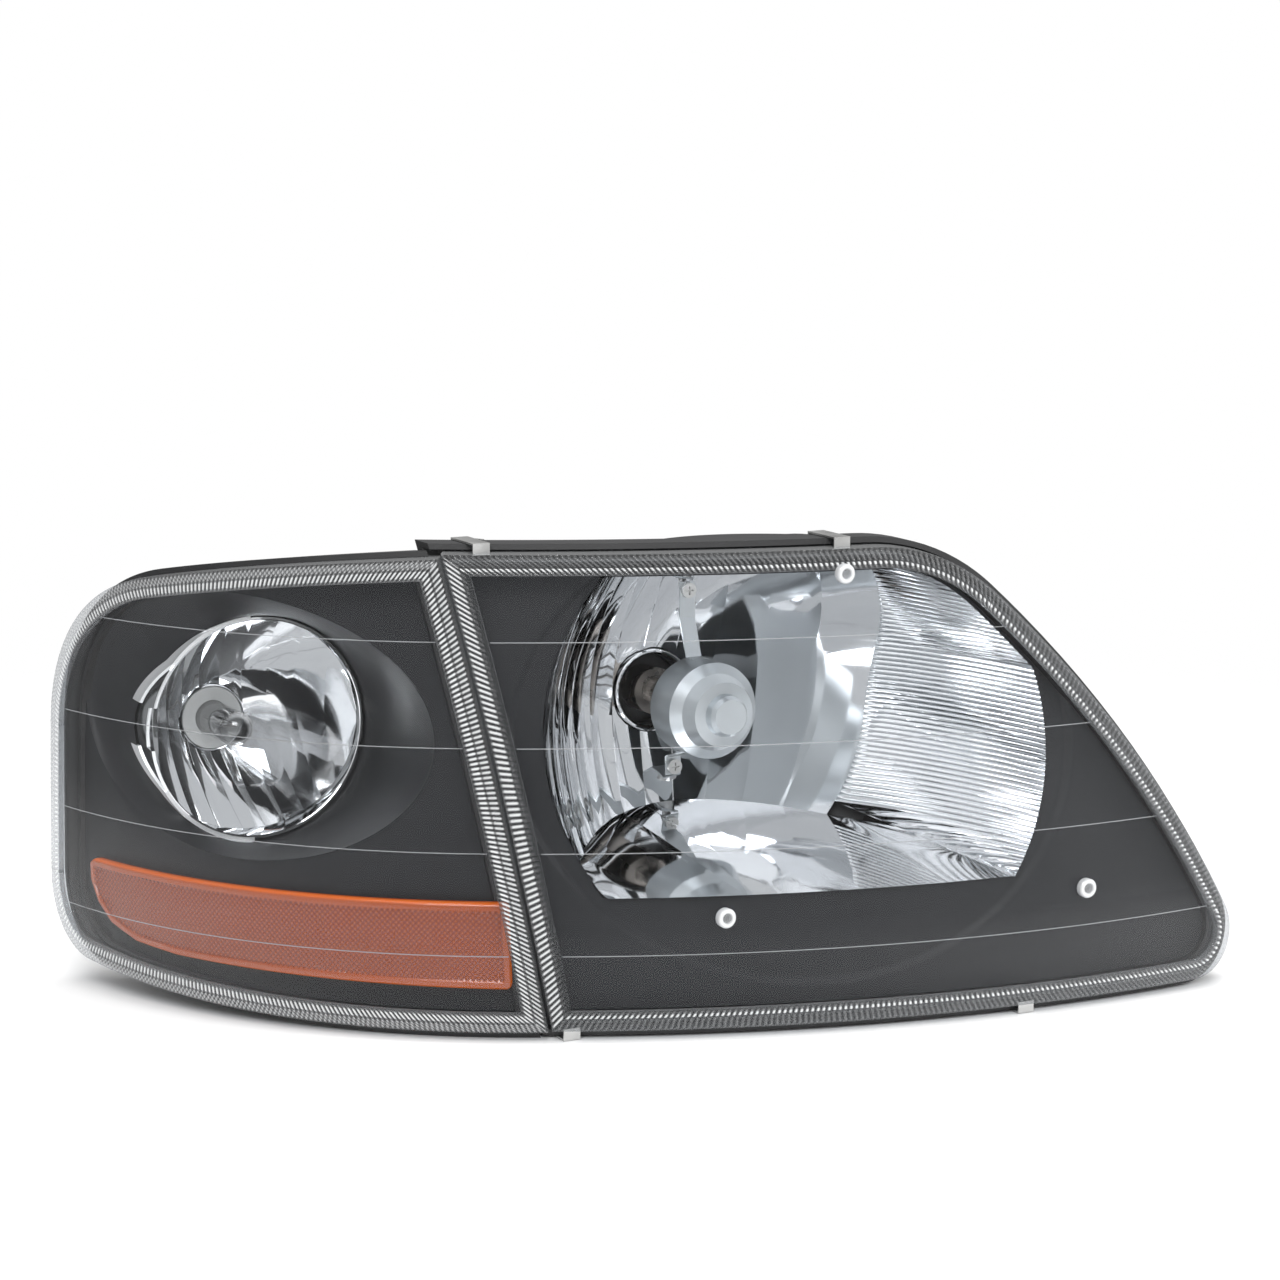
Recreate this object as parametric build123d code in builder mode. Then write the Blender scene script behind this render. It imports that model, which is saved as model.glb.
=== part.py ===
from build123d import *
import math
import os

# Car headlamp unit for one front corner: a composite headlamp and the corner lamp nested beside it.
# Millimetres, +Z up, -Y to the front of the car, +X towards the grille. The frame's origin is on the
# shank of the pivot stud behind the headlamp. The helpers below work from the "joint": the point on
# the glazing where the two lamps meet, at mid-height.

# ---- glazing surface: one raked, crowned surface that bends tighter round the car's corner ----
headlight_bend = 540.0      # plan radius of the headlamp glazing
corner_bend = 272.0         # plan radius of the corner lamp glazing
joint_sweep = 29.0          # how far the glazing has turned from straight ahead at the joint, degrees
rake = math.tan(math.radians(9.0))   # lean-back of the glazing per unit of height
crown = 900.0               # vertical radius of the glazing

# ---- outlines, from the joint ----
top_z = 99.5                # top edge of both lamps
bottom_z = -105.0           # bottom edge of both lamps
joint_x = 4.5               # the joint line crosses mid-height here
joint_slope = 0.145         # the joint line leans towards the grille as it drops
joint_gap = 1.2             # dark gap between the two lenses
grille_x = 357.0            # where the lower edge and the grille edge would meet
shoulder_x = 201.5          # where the top edge and the grille edge would meet
grille_bow = 12.5           # how far the grille edge bulges
shoulder_r = 78.0
grille_r = 22.0
wrap_y = 187.0              # rear edge of the corner lamp along the fender
wrap_top_z = 69.0           # height of the corner lamp's top edge if it ran on to the rear edge
wrap_bottom_z = -91.0
wrap_top_r = 72.0
wrap_bottom_r = 37.0

# ---- lens, seal and housing rim ----
lens_wall = 2.8
skirt_depth = 16.0          # depth of the lens skirt behind the glazing
seal_height = 2.6
rim_front = 9.0             # the housing's outer lip starts this far behind the glazing
rim_wall = 2.5
rim_clear = 1.0             # from the skirt to the outer lip
groove_clear = 1.2          # from the skirt to the inner lip
housing_wall = 2.0

# ---- bezels ----
bezel_front = 14.0
bezel_wall = 2.4
bezel_clear = 0.6           # bezel edge to the housing's inner lip

# ---- main reflector ----
main_x = 136.0
main_z = 15.0
main_focal = 27.0
main_vertex_y = 113.0
main_mouth_x = 140.5        # centre of the round mouth
main_mouth_z = 13.0
main_mouth_r = 111.0
main_mouth_top = 88.0
main_mouth_bottom = -50.0
reflector_wall = 1.8
bowl_clear = 4.0            # reflector to the housing's bowl
tub_back_y = 42.0           # back wall of the headlamp housing
tub_taper_x = 285.0         # the back wall tapers forward from here to the grille edge
tub_taper_y = -20.0

# ---- main bulb, twist-ring type ----
bulb_seat_y = 136.0
bulb_bore_r = 17.0
bulb_fit = 0.6
bulb_pilot_r = bulb_bore_r - bulb_fit
flange_lap = 4.0            # the flange covers the bore's rim by this
bulb_flange_r = bulb_bore_r + flange_lap
bulb_flange_t = 4.0
collar_lap = 1.0            # the collar stands out past the flange
collar_r = bulb_flange_r + collar_lap
main_hole_clear = 2.0       # reflector's hole round the bore
tab_reach = 2.8
tab_arc = 40.0
tab_t = 3.0
lug_arc = 36.0
ring_gap = 0.4
bulb_glass_r = 7.0
bulb_tip_y = 66.0
plug_width = 28.0           # connector socket of the main bulb, outside
plug_height = 19.0
plug_wall = 1.8
plug_depth = 20.0

# ---- shield in front of the bulb ----
shield_x = 141.0
shield_z = 13.0
shield_nose_y = 40.0
shield_back_y = 77.0
shield_r = 22.5
shield_t = 0.8

# ---- aim adjusters and pivot ----
stud_r = 4.0
stud_ball_r = 5.5
stud_travel = 6.0
stud_fit = 0.06
driver_r = 3.0
driver_fit = 0.06
case_size = 24.0
case_depth = 28.0
case_wall = 2.8
gear_r = 8.0
pinion_r = 4.0
gear_gap = 0.3
upper_adjuster = (22.0, 62.0)
lower_adjuster = (262.0, -78.0)
pivot_place = (60.0, -79.0)
pivot_shank = 18.0
pivot_ball_r = 6.0
screw_r = 1.6
screw_head_r = 3.6
pilot_clear = 0.05

# ---- corner lamp ----
turn_x = -62.0
turn_z = 8.5
turn_focal = 17.5
turn_cup_back = 13.0        # the cup's vertex stands this far before the lamp's rear edge
turn_vertex_y = wrap_y - turn_cup_back
turn_mouth_x = -56.0        # the round mouth is a little inboard of the bulb's axis
turn_mouth_z = 10.5
turn_mouth_y = 126.0
turn_mouth_r = 49.5
rim_reach = 1.8             # the cup's rim stands out this far
marker_height = 18.0        # window in the outboard rim for the side marker
marker_depth = 6.0
dish_x = -68.5              # middle of the oval recess in the corner bezel
dish_z = 22.0
dish_half_width = 54.5
dish_half_height = 52.0
turn_hole_r = 15.0
turn_fit = 0.3
amber_top = -49.5
amber_bottom = -90.5
amber_t = 5.0
amber_front = 7.5
inner_back_y = 110.0        # the corner housing's back wall slopes forward to this at the joint
peg_r = 2.6
foot_peg_r = 4.0
foot_peg_length = 13.0

pivot_y = tub_back_y + 3.0 + pivot_shank / 2
origin = Vector(-pivot_place[0], -pivot_y, -pivot_place[1])   # the joint, in the part's frame
tub = -(lens_wall + groove_clear)          # outside of the tub, which is the groove's inner lip
tub_inside = tub - housing_wall
seal_front = skirt_depth
groove_floor = skirt_depth + seal_height
rim_back = groove_floor + rim_wall
inner_lip_front = 12.0
bezel_grow = tub_inside - bezel_clear
mouth_margin = tub_inside - reflector_wall - 1.0   # least distance from the outline to the mouth
bowl_top = main_mouth_top + reflector_wall + 2.0
bowl_bottom = main_mouth_bottom - reflector_wall - 2.0

span_z = 125.0              # the glazing surface is drawn this far above and below mid-height
reach = 400.0


def front(x, y, z):
    """Sketch plane facing the front of the car."""
    return Plane(origin=origin + Vector(x, y, z), x_dir=(1, 0, 0), z_dir=(0, -1, 0))


def rear(x, y, z):
    """Sketch plane facing the rear of the car; its X runs to -X."""
    return Plane(origin=origin + Vector(x, y, z), x_dir=(-1, 0, 0), z_dir=(0, 1, 0))


def top(x, y, z):
    """Sketch plane facing up."""
    return Plane(origin=origin + Vector(x, y, z), x_dir=(1, 0, 0), z_dir=(0, 0, 1))


def side(x, y, z):
    """Sketch plane facing +X: its X runs to the rear, its Y runs up."""
    return Plane(origin=origin + Vector(x, y, z), x_dir=(0, 1, 0), z_dir=(1, 0, 0))


def setback(z):
    """How far the rake and the crown move the glazing to the rear at height z."""
    return rake * z + z * z / (2 * crown)


def plan_point(bend, sweep, depth):
    """Point in plan, depth behind the glazing, where the glazing has turned by sweep degrees."""
    turned = math.radians(joint_sweep)
    here = math.radians(sweep)
    across = bend * math.sin(turned) - (bend - depth) * math.sin(here)
    back = bend * math.cos(turned) - (bend - depth) * math.cos(here)
    return (across, back)


def glazing_y(x, z, depth=0.0):
    """Y of the headlamp glazing's offset copy at x and z."""
    turned = math.radians(joint_sweep)
    across = headlight_bend * math.sin(turned) - x
    bend_y = headlight_bend * math.cos(turned)
    return bend_y - math.sqrt((headlight_bend - depth) ** 2 - across ** 2) + setback(z)


def layer(bend, sweep_from, sweep_to, near, far):
    """Solid between two offset copies of the glazing, near and far behind it."""
    middle = (sweep_from + sweep_to) / 2
    with BuildPart() as body:
        for height in (-span_z, 0.0, span_z):
            with BuildSketch(top(0, setback(height), height)):
                with BuildLine():
                    outside = ThreePointArc(plan_point(bend, sweep_from, near),
                                            plan_point(bend, middle, near),
                                            plan_point(bend, sweep_to, near))
                    inside = ThreePointArc(plan_point(bend, sweep_to, far),
                                           plan_point(bend, middle, far),
                                           plan_point(bend, sweep_from, far))
                    Line(outside @ 1, inside @ 0)
                    Line(inside @ 1, outside @ 0)
                make_face()
        loft()
    return body.part


def headlight_layer(near, far):
    return layer(headlight_bend, joint_sweep + 6, -14.0, near, far)


def corner_layer(near, far):
    return layer(corner_bend, joint_sweep - 10, 84.0, near, far)


def joint_line_x(z):
    return joint_x - joint_slope * z


def headlight_block(grow):
    """Headlamp outline, grown outwards, as a long bar along Y; the joint side never grows."""
    edge = joint_gap / 2 - min(grow, 0.1)
    half = math.hypot(grille_x - shoulder_x, top_z - bottom_z) / 2
    lean = math.hypot(1.0, (grille_x - shoulder_x) / (top_z - bottom_z))
    bulge_x = (shoulder_x + grille_x) / 2 + grille_bow / lean
    bulge_z = (top_z + bottom_z) / 2 + grille_bow * (grille_x - shoulder_x) / (2 * half)
    with BuildPart() as bar:
        with BuildSketch(front(0, tub_back_y + 90, 0)):
            with BuildLine():
                Line((-60, top_z), (shoulder_x, top_z))
                ThreePointArc((shoulder_x, top_z), (bulge_x, bulge_z), (grille_x, bottom_z))
                Line((grille_x, bottom_z), (-60, bottom_z))
                Line((-60, bottom_z), (-60, top_z))
            make_face()
            fillet(vertices().sort_by(Axis.X)[2], shoulder_r)
            fillet(vertices().sort_by(Axis.X)[-1], grille_r)
            offset(amount=grow)
            with BuildLine():
                Polyline((joint_line_x(span_z) + edge, span_z), (grille_x + 40, span_z),
                         (grille_x + 40, -span_z), (joint_line_x(-span_z) + edge, -span_z), close=True)
            make_face(mode=Mode.INTERSECT)
        extrude(amount=260)
    return bar.part


def corner_block(grow):
    """Corner lamp outline, grown outwards: a side-view bar along X, cut off at the joint."""
    edge = joint_gap / 2 - min(grow, 0.1)
    with BuildPart() as bar:
        with BuildSketch(side(-180, 0, 0)):
            with BuildLine():
                crest = ThreePointArc((-60, top_z + 2), (wrap_y * 0.45, top_z - 9), (wrap_y, wrap_top_z))
                belly = ThreePointArc((-60, bottom_z - 1), (wrap_y * 0.5, bottom_z + 3.5),
                                      (wrap_y, wrap_bottom_z))
                Line(crest @ 1, belly @ 1)
                Line(crest @ 0, belly @ 0)
            make_face()
            fillet(vertices().sort_by(Axis.X)[-2:].sort_by(Axis.Y)[-1], wrap_top_r)
            fillet(vertices().sort_by(Axis.X)[-2:].sort_by(Axis.Y)[0], wrap_bottom_r)
            offset(amount=grow)
        extrude(amount=240)
        with BuildSketch(front(0, wrap_y + 30, 0)):
            with BuildLine():
                Polyline((joint_line_x(span_z) - edge, span_z), (-180, span_z), (-180, -span_z),
                         (joint_line_x(-span_z) - edge, -span_z), close=True)
            make_face()
        extrude(amount=300, mode=Mode.INTERSECT)
    return bar.part


def clipped(block, layer_solid):
    """The part of an outline block that lies inside one layer."""
    with BuildPart() as body:
        add(block)
        add(layer_solid, mode=Mode.INTERSECT)
    return body.part


def headlight_slice(grow, near, far):
    return clipped(headlight_block(grow), headlight_layer(near, far))


def corner_slice(grow, near, far):
    return clipped(corner_block(grow), corner_layer(near, far))


def bowl(axis_x, axis_z, vertex_y, rim_y, rim_r):
    """Solid paraboloid of revolution: its tip is at vertex_y and it opens to the front."""
    with BuildPart() as body:
        with BuildSketch(side(axis_x, 0, axis_z)):
            with BuildLine():
                Bezier((vertex_y, 0), (vertex_y, rim_r / 2), (rim_y, rim_r))
                Polyline((rim_y, rim_r), (rim_y, 0), (vertex_y, 0))
            make_face()
        revolve(axis=Axis(origin + Vector(axis_x, 0, axis_z), (0, 1, 0)))
    return body.part


def between_heights(low, high):
    """Slab that limits a bowl in height."""
    with BuildPart() as body:
        with BuildSketch(top(main_mouth_x, 0, low)):
            Rectangle(reach, reach)
        extrude(amount=high - low)
    return body.part


def mouth_bar(grow):
    """The headlamp reflector's mouth: a round bar along Y, cut flat and kept inside the outline."""
    with BuildPart() as body:
        with BuildSketch(front(main_mouth_x, tub_back_y + 120, main_mouth_z)):
            Circle(main_mouth_r + grow)
        extrude(amount=300)
        add(between_heights(main_mouth_bottom - grow, main_mouth_top + grow), mode=Mode.INTERSECT)
        add(headlight_block(mouth_margin + grow), mode=Mode.INTERSECT)
    return body.part


def bowl_shell(grow, rim_y):
    """The housing's bowl behind the reflector, grown outwards from its inside face."""
    rim_r = parabola_r(main_focal, main_vertex_y, tub_back_y) + reflector_wall + bowl_clear + 3 + grow
    body = clipped(bowl(main_x, main_z, main_vertex_y + reflector_wall + bowl_clear + grow, rim_y, rim_r),
                   between_heights(bowl_bottom - grow, bowl_top + grow))
    return clipped(body, headlight_block(tub_inside + grow))


def parabola_r(focal, vertex_y, y):
    return math.sqrt(4 * focal * (vertex_y - y))


def joint_side(y, z):
    """Sketch plane lying on the joint line's plane and facing the headlamp."""
    length = math.hypot(1, joint_slope)
    return Plane(origin=origin + Vector(joint_line_x(z), y, z), x_dir=(0, 1, 0),
                 z_dir=(1 / length, 0, joint_slope / length))


def save(body, name):
    body.part.label = name
    export_step(body.part, "parts/" + name + ".step")


os.makedirs("parts", exist_ok=True)

# ================= headlamp =================


aim_pads = [(154, 89), (91, -56), (259, -55)]
aim_pad_r = 4.4
aim_pad_height = 3.0
clip_places = [(8, 1), (157, 1), (30, -1), (230, -1)]    # x, and +1 for the top edge, -1 for the bottom
clip_width = 8.0
clip_t = 0.8
clip_notch_front = 4.0

with BuildPart() as headlight_lens:
    add(headlight_slice(0, 0, skirt_depth))
    add(headlight_slice(-lens_wall, lens_wall, skirt_depth + 10), mode=Mode.SUBTRACT)
    for pad_x, pad_z in aim_pads:
        pad_y = glazing_y(pad_x, pad_z)
        with BuildSketch(front(pad_x, pad_y + 2, pad_z)):
            Circle(aim_pad_r)
        extrude(amount=2 + aim_pad_height)
    for clip_x, way in clip_places:
        edge_z = top_z if way > 0 else bottom_z
        clip_y = glazing_y(clip_x, edge_z)
        with BuildSketch(front(clip_x, clip_y + clip_notch_front + 2, edge_z)):
            Rectangle(clip_width + 0.6, 2.4)
        extrude(amount=2, mode=Mode.SUBTRACT)
save(headlight_lens, "headlight_lens")

with BuildPart() as headlight_lens_seal:
    add(headlight_slice(rim_clear - 0.1, seal_front, groove_floor))
    add(headlight_slice(tub + 0.25, seal_front - 5, groove_floor + 5), mode=Mode.SUBTRACT)
save(headlight_lens_seal, "headlight_lens_seal")

tub_plan = [(-60, -200), (-60, tub_back_y), (tub_taper_x, tub_back_y), (grille_x, tub_taper_y),
            (grille_x + 20, tub_taper_y), (grille_x + 20, -200)]


def tub_solid(grow, near, inset):
    """Headlamp tub: the outline behind one layer, inset from the back walls."""
    with BuildPart() as body:
        with BuildSketch(top(0, 0, -span_z)):
            with BuildLine():
                Polyline(*tub_plan, close=True)
            make_face()
            offset(amount=-inset, kind=Kind.INTERSECTION)
        extrude(amount=2 * span_z)
        add(headlight_slice(grow, near, 118), mode=Mode.INTERSECT)
    return body.part


def ring_sector(inner_r, outer_r, middle, arc):
    """Closed edges of a ring sector, drawn inside a BuildLine; angles in degrees."""
    start = middle - arc / 2
    CenterArc((0, 0), inner_r, start, arc)
    CenterArc((0, 0), outer_r, start, arc)
    for angle in (start, start + arc):
        Line(Vector(inner_r, 0).rotate(Axis.Z, angle), Vector(outer_r, 0).rotate(Axis.Z, angle))


bowl_in_tip = main_vertex_y + reflector_wall + bowl_clear
boss_r = 3.8
boss_depth = 9.0
screw_places = [(upper_adjuster[0] + s * (case_size / 2 + 4), upper_adjuster[1]) for s in (-1, 1)]
screw_places += [(lower_adjuster[0] + s * (case_size / 2 + 4), lower_adjuster[1]) for s in (-1, 1)]
vent_place = (300.0, -30.0)
vent_r = 6.0
peg_places = [(34.0, 8.0), (22.0, -60.0)]               # y and z of the corner lamp's pegs
grommet_r = 4.4

with BuildPart() as headlight_housing:
    # flange with the groove for the lens
    add(headlight_slice(rim_clear + rim_wall, rim_front, rim_back))
    add(headlight_slice(rim_clear, rim_front - 5, groove_floor), mode=Mode.SUBTRACT)
    # tub behind the flange
    add(tub_solid(tub, inner_lip_front, 0))
    # bowl around the reflector
    add(bowl_shell(housing_wall, tub_back_y - 5))
    # collar that takes the bulb
    with BuildSketch(rear(main_x, bowl_in_tip - 3, main_z)):
        Circle(collar_r)
    extrude(amount=bulb_seat_y - bowl_in_tip + 3)
    for turn in range(3):
        with BuildSketch(rear(main_x, bulb_seat_y - 6, main_z)):
            with BuildLine():
                ring_sector(collar_r - 1, collar_r + tab_reach, 90 + turn * 120, tab_arc)
            make_face()
        extrude(amount=tab_t)
    # hollow it
    add(tub_solid(tub_inside, inner_lip_front - 8, housing_wall), mode=Mode.SUBTRACT)
    add(bowl_shell(0, tub_back_y - 6), mode=Mode.SUBTRACT)
    with BuildSketch(rear(main_x, bowl_in_tip - 12, main_z)):
        Circle(bulb_bore_r)
    extrude(amount=bulb_seat_y, mode=Mode.SUBTRACT)
    # bosses inside for the adjuster screws and the pivot stud
    for boss_x, boss_z in screw_places:
        with BuildSketch(rear(boss_x, tub_back_y - boss_depth, boss_z)):
            Circle(boss_r)
        extrude(amount=boss_depth - 0.5)
    with BuildSketch(rear(pivot_place[0], tub_back_y - boss_depth, pivot_place[1])):
        Circle(stud_r + 3)
    extrude(amount=boss_depth - 0.5)
    for boss_x, boss_z in screw_places:
        with BuildSketch(rear(boss_x, tub_back_y - boss_depth + 2, boss_z)):
            Circle(screw_r + pilot_clear)
        extrude(amount=boss_depth, mode=Mode.SUBTRACT)
    with BuildSketch(rear(pivot_place[0], tub_back_y - boss_depth + 2, pivot_place[1])):
        Circle(stud_r + pilot_clear)
    extrude(amount=boss_depth, mode=Mode.SUBTRACT)
    # vent spout and the sockets for the corner lamp's pegs
    with BuildSketch(rear(vent_place[0], 0, vent_place[1])):
        Circle(vent_r)
    extrude(amount=tub_back_y + 8)
    with BuildSketch(rear(vent_place[0], -10, vent_place[1])):
        Circle(vent_r - 1.6)
    extrude(amount=tub_back_y + 30, mode=Mode.SUBTRACT)
    for peg_y, peg_z in peg_places:
        with BuildSketch(joint_side(peg_y, peg_z)):
            Circle(grommet_r)
        extrude(amount=20, mode=Mode.SUBTRACT)
save(headlight_housing, "headlight_housing")

main_hole_r = bulb_bore_r + main_hole_clear
foot_lower = (-20.0, 98.0)      # z and y of the shield's lower foot
foot_upper = (66.0, 84.0)

with BuildPart() as main_reflector:
    add(clipped(bowl(main_x, main_z, main_vertex_y + reflector_wall, -90,
                     parabola_r(main_focal, main_vertex_y, -90) + reflector_wall),
                mouth_bar(reflector_wall)))
    add(clipped(bowl(main_x, main_z, main_vertex_y, -95, parabola_r(main_focal, main_vertex_y, -95)),
                mouth_bar(0)), mode=Mode.SUBTRACT)
    for foot_z, foot_y in (foot_lower, foot_upper):
        with BuildSketch(rear(shield_x, foot_y, foot_z)):
            Circle(4.5)
        extrude(amount=16)
    add(bowl(main_x, main_z, main_vertex_y + reflector_wall + 1.2, -90,
             parabola_r(main_focal, main_vertex_y, -90) + reflector_wall + 1.2), mode=Mode.INTERSECT)
    with BuildSketch(rear(main_x, main_vertex_y - 20, main_z)):
        Circle(main_hole_r)
    extrude(amount=60, mode=Mode.SUBTRACT)
    for foot_z, foot_y in (foot_lower, foot_upper):
        with BuildSketch(rear(shield_x, foot_y - 1, foot_z)):
            Circle(screw_r + pilot_clear)
        extrude(amount=6, mode=Mode.SUBTRACT)
    add(headlight_layer(bezel_front + bezel_wall, 250), mode=Mode.INTERSECT)
save(main_reflector, "main_reflector")

with BuildPart() as headlight_bezel:
    add(headlight_slice(bezel_grow, bezel_front, bezel_front + bezel_wall))
    add(mouth_bar(0), mode=Mode.SUBTRACT)
save(headlight_bezel, "headlight_bezel")

# the shield's outline from its nose back: distance behind the nose and radius
shield_steps = [(0, 8), (2, 9.5), (6, 10), (7, 15), (14, 18), (18, shield_r)]
strap_width = 8.0

with BuildPart() as bulb_shield:
    outside = [(shield_nose_y + back, r) for back, r in shield_steps]
    inside = [(shield_nose_y + back + shield_t, r - shield_t) for back, r in shield_steps[:-1]]
    inside.append((shield_nose_y + shield_steps[-1][0] + shield_t / 2, shield_r - shield_t))
    with BuildSketch(side(shield_x, 0, shield_z)):
        with BuildLine():
            Polyline((shield_nose_y, 0), *outside, (shield_back_y, shield_r),
                     (shield_back_y, shield_r - shield_t), *reversed(inside),
                     (shield_nose_y + shield_t, 0), close=True)
        make_face()
    revolve(axis=Axis(origin + Vector(shield_x, 0, shield_z), (0, 1, 0)))
    low_z = shield_z - shield_r + shield_t / 2
    high_z = shield_z + shield_r - shield_t / 2
    with BuildSketch(side(shield_x - strap_width / 2, 0, 0)):
        with BuildLine():
            Polyline((shield_back_y - 6, low_z), (shield_back_y, low_z),
                     (foot_lower[1] - shield_t / 2, low_z - 6),
                     (foot_lower[1] - shield_t / 2, foot_lower[0] - strap_width / 2))
        trace(line_width=shield_t)
        with BuildLine():
            Polyline((shield_back_y - 6, high_z), (shield_back_y, high_z),
                     (foot_upper[1] - shield_t / 2, high_z + 18),
                     (foot_upper[1] - shield_t / 2, foot_upper[0] + strap_width / 2))
        trace(line_width=shield_t)
    extrude(amount=strap_width)
    for foot_z, foot_y in (foot_lower, foot_upper):
        with BuildSketch(rear(shield_x, foot_y - 3, foot_z)):
            Circle(screw_r + pilot_clear)
        extrude(amount=6, mode=Mode.SUBTRACT)
save(bulb_shield, "bulb_shield")

cross_slot = 4.0                # the screws' cross recess
cross_width = 0.8
cross_deep = 1.0
screw_head_t = 2.2

with BuildPart() as shield_screws:
    for foot_z, foot_y in (foot_lower, foot_upper):
        with BuildSketch(front(shield_x, foot_y - shield_t, foot_z)):
            Circle(screw_head_r)
        extrude(amount=screw_head_t)
        with BuildSketch(rear(shield_x, foot_y - shield_t, foot_z)):
            Circle(screw_r)
        extrude(amount=5)
        with BuildSketch(front(shield_x, foot_y - shield_t - screw_head_t + cross_deep, foot_z)):
            Rectangle(cross_slot, cross_width)
            Rectangle(cross_width, cross_slot)
        extrude(amount=2, mode=Mode.SUBTRACT)
save(shield_screws, "shield_screws")

with BuildPart() as lens_clips:
    for clip_x, way in clip_places:
        edge_z = top_z if way > 0 else bottom_z
        clip_y = glazing_y(clip_x, edge_z)
        over = rim_clear + rim_wall + clip_t / 2 + 0.2
        hook_y = clip_y + clip_notch_front + 1
        back_y = clip_y + rim_back / math.cos(math.radians(joint_sweep)) + 3.6
        with BuildSketch(side(clip_x - clip_width / 2, 0, 0)):
            with BuildLine():
                Polyline((hook_y, edge_z - 0.7 * way), (hook_y, edge_z + over * way),
                         (back_y, edge_z + over * way), (back_y, edge_z - 3 * way))
            trace(line_width=clip_t)
        extrude(amount=clip_width)
save(lens_clips, "lens_clips")

# ---- main bulb ----
groove_y = bulb_seat_y - 8
o_ring_t = 2.4
o_ring_groove = 1.6
o_ring_in_r = bulb_pilot_r - o_ring_groove
bulb_neck_r = 11.0
bulb_neck_y = 106.0
plug_back_y = bulb_seat_y + bulb_flange_t + plug_depth + 4

with BuildPart() as main_bulb_base:
    with BuildSketch(rear(main_x, bulb_seat_y - 16, main_z)):
        Circle(bulb_pilot_r)
    extrude(amount=16)
    with BuildSketch(rear(main_x, bulb_seat_y, main_z)):
        Circle(bulb_flange_r)
    extrude(amount=bulb_flange_t)
    with BuildSketch(rear(main_x, bulb_seat_y + bulb_flange_t, main_z)):
        RectangleRounded(plug_width, plug_height, 3)
    extrude(amount=plug_depth + 4)
    with BuildSketch(front(main_x, plug_back_y, main_z)):
        RectangleRounded(plug_width - 2 * plug_wall, plug_height - 2 * plug_wall, 1.5)
    extrude(amount=plug_depth, mode=Mode.SUBTRACT)
    with BuildSketch(rear(main_x, groove_y, main_z)):
        Circle(bulb_pilot_r + 1)
        Circle(o_ring_in_r, mode=Mode.SUBTRACT)
    extrude(amount=o_ring_t + 0.2, mode=Mode.SUBTRACT)
    with BuildSketch(front(main_x, bulb_seat_y - 16, main_z)):
        Circle(bulb_neck_r)
    extrude(amount=-10, mode=Mode.SUBTRACT)
save(main_bulb_base, "main_bulb_base")

with BuildPart() as main_bulb_o_ring:
    with BuildSketch(rear(main_x, groove_y + 0.1, main_z)):
        Circle(bulb_bore_r - 0.05)
        Circle(o_ring_in_r, mode=Mode.SUBTRACT)
    extrude(amount=o_ring_t)
save(main_bulb_o_ring, "main_bulb_o_ring")

with BuildPart() as main_bulb_collar:
    with BuildSketch(rear(main_x, bulb_neck_y, main_z)):
        Circle(bulb_neck_r)
        Circle(bulb_glass_r + 0.1, mode=Mode.SUBTRACT)
    extrude(amount=bulb_seat_y - 6 - bulb_neck_y)
save(main_bulb_collar, "main_bulb_collar")


def bulb_glass(x, z, tip_y, foot_y, radius, wall):
    """Closed glass tube with a round tip, along Y; returns its solid with the hollow inside."""
    with BuildPart() as body:
        with BuildSketch(side(x, 0, z)):
            with BuildLine():
                RadiusArc((tip_y, 0), (tip_y + radius, radius), radius)
                Polyline((tip_y + radius, radius), (foot_y, radius), (foot_y, 0), (foot_y - 5, 0),
                         (foot_y - 5, radius - wall), (tip_y + radius, radius - wall))
                RadiusArc((tip_y + wall, 0), (tip_y + radius, radius - wall), radius - wall)
                Line((tip_y, 0), (tip_y + wall, 0))
            make_face()
        revolve(axis=Axis(origin + Vector(x, 0, z), (0, 1, 0)))
    return body.part


bulb_glass_wall = 0.9
bulb_glass_foot_y = bulb_neck_y + 16
with BuildPart() as main_bulb_glass:
    add(bulb_glass(main_x, main_z, bulb_tip_y, bulb_glass_foot_y, bulb_glass_r, bulb_glass_wall))
save(main_bulb_glass, "main_bulb_glass")

coil_offset = 2.2               # each coil above or below the axis
with BuildPart() as main_bulb_filaments:
    for way in (1, -1):
        coil_z = main_z + way * coil_offset
        coil_y = main_vertex_y - main_focal - way * 3
        with BuildSketch(side(main_x - 2.5, coil_y, coil_z)):
            Circle(0.9)
        extrude(amount=5)
        for post_x in (-3.0, 2.5):
            with BuildSketch(side(main_x + post_x, 0, 0)):
                with Locations((coil_y, coil_z)):
                    Circle(0.45)
            extrude(amount=0.5)
            with BuildSketch(rear(main_x + post_x + 0.25, coil_y - 0.3, coil_z)):
                Circle(0.3)
            extrude(amount=bulb_glass_foot_y - 5 - coil_y + 0.3)
save(main_bulb_filaments, "main_bulb_filaments")

blade_pitch = 8.0
blade_width = 6.3
blade_t = 0.8
with BuildPart() as main_bulb_terminals:
    for place in (-1, 0, 1):
        with BuildSketch(front(main_x + place * blade_pitch, plug_back_y - 4, main_z)):
            Rectangle(blade_width, blade_t)
        extrude(amount=plug_depth - 4)
save(main_bulb_terminals, "main_bulb_terminals")

ring_skirt_in_r = collar_r + tab_reach + ring_gap
ring_skirt_r = ring_skirt_in_r + 3
ring_plate_t = 3.0
ring_mouth_r = 19.0
lug_gap = 1.0
tab_front_y = bulb_seat_y - 6
lug_t = 3.0

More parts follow.
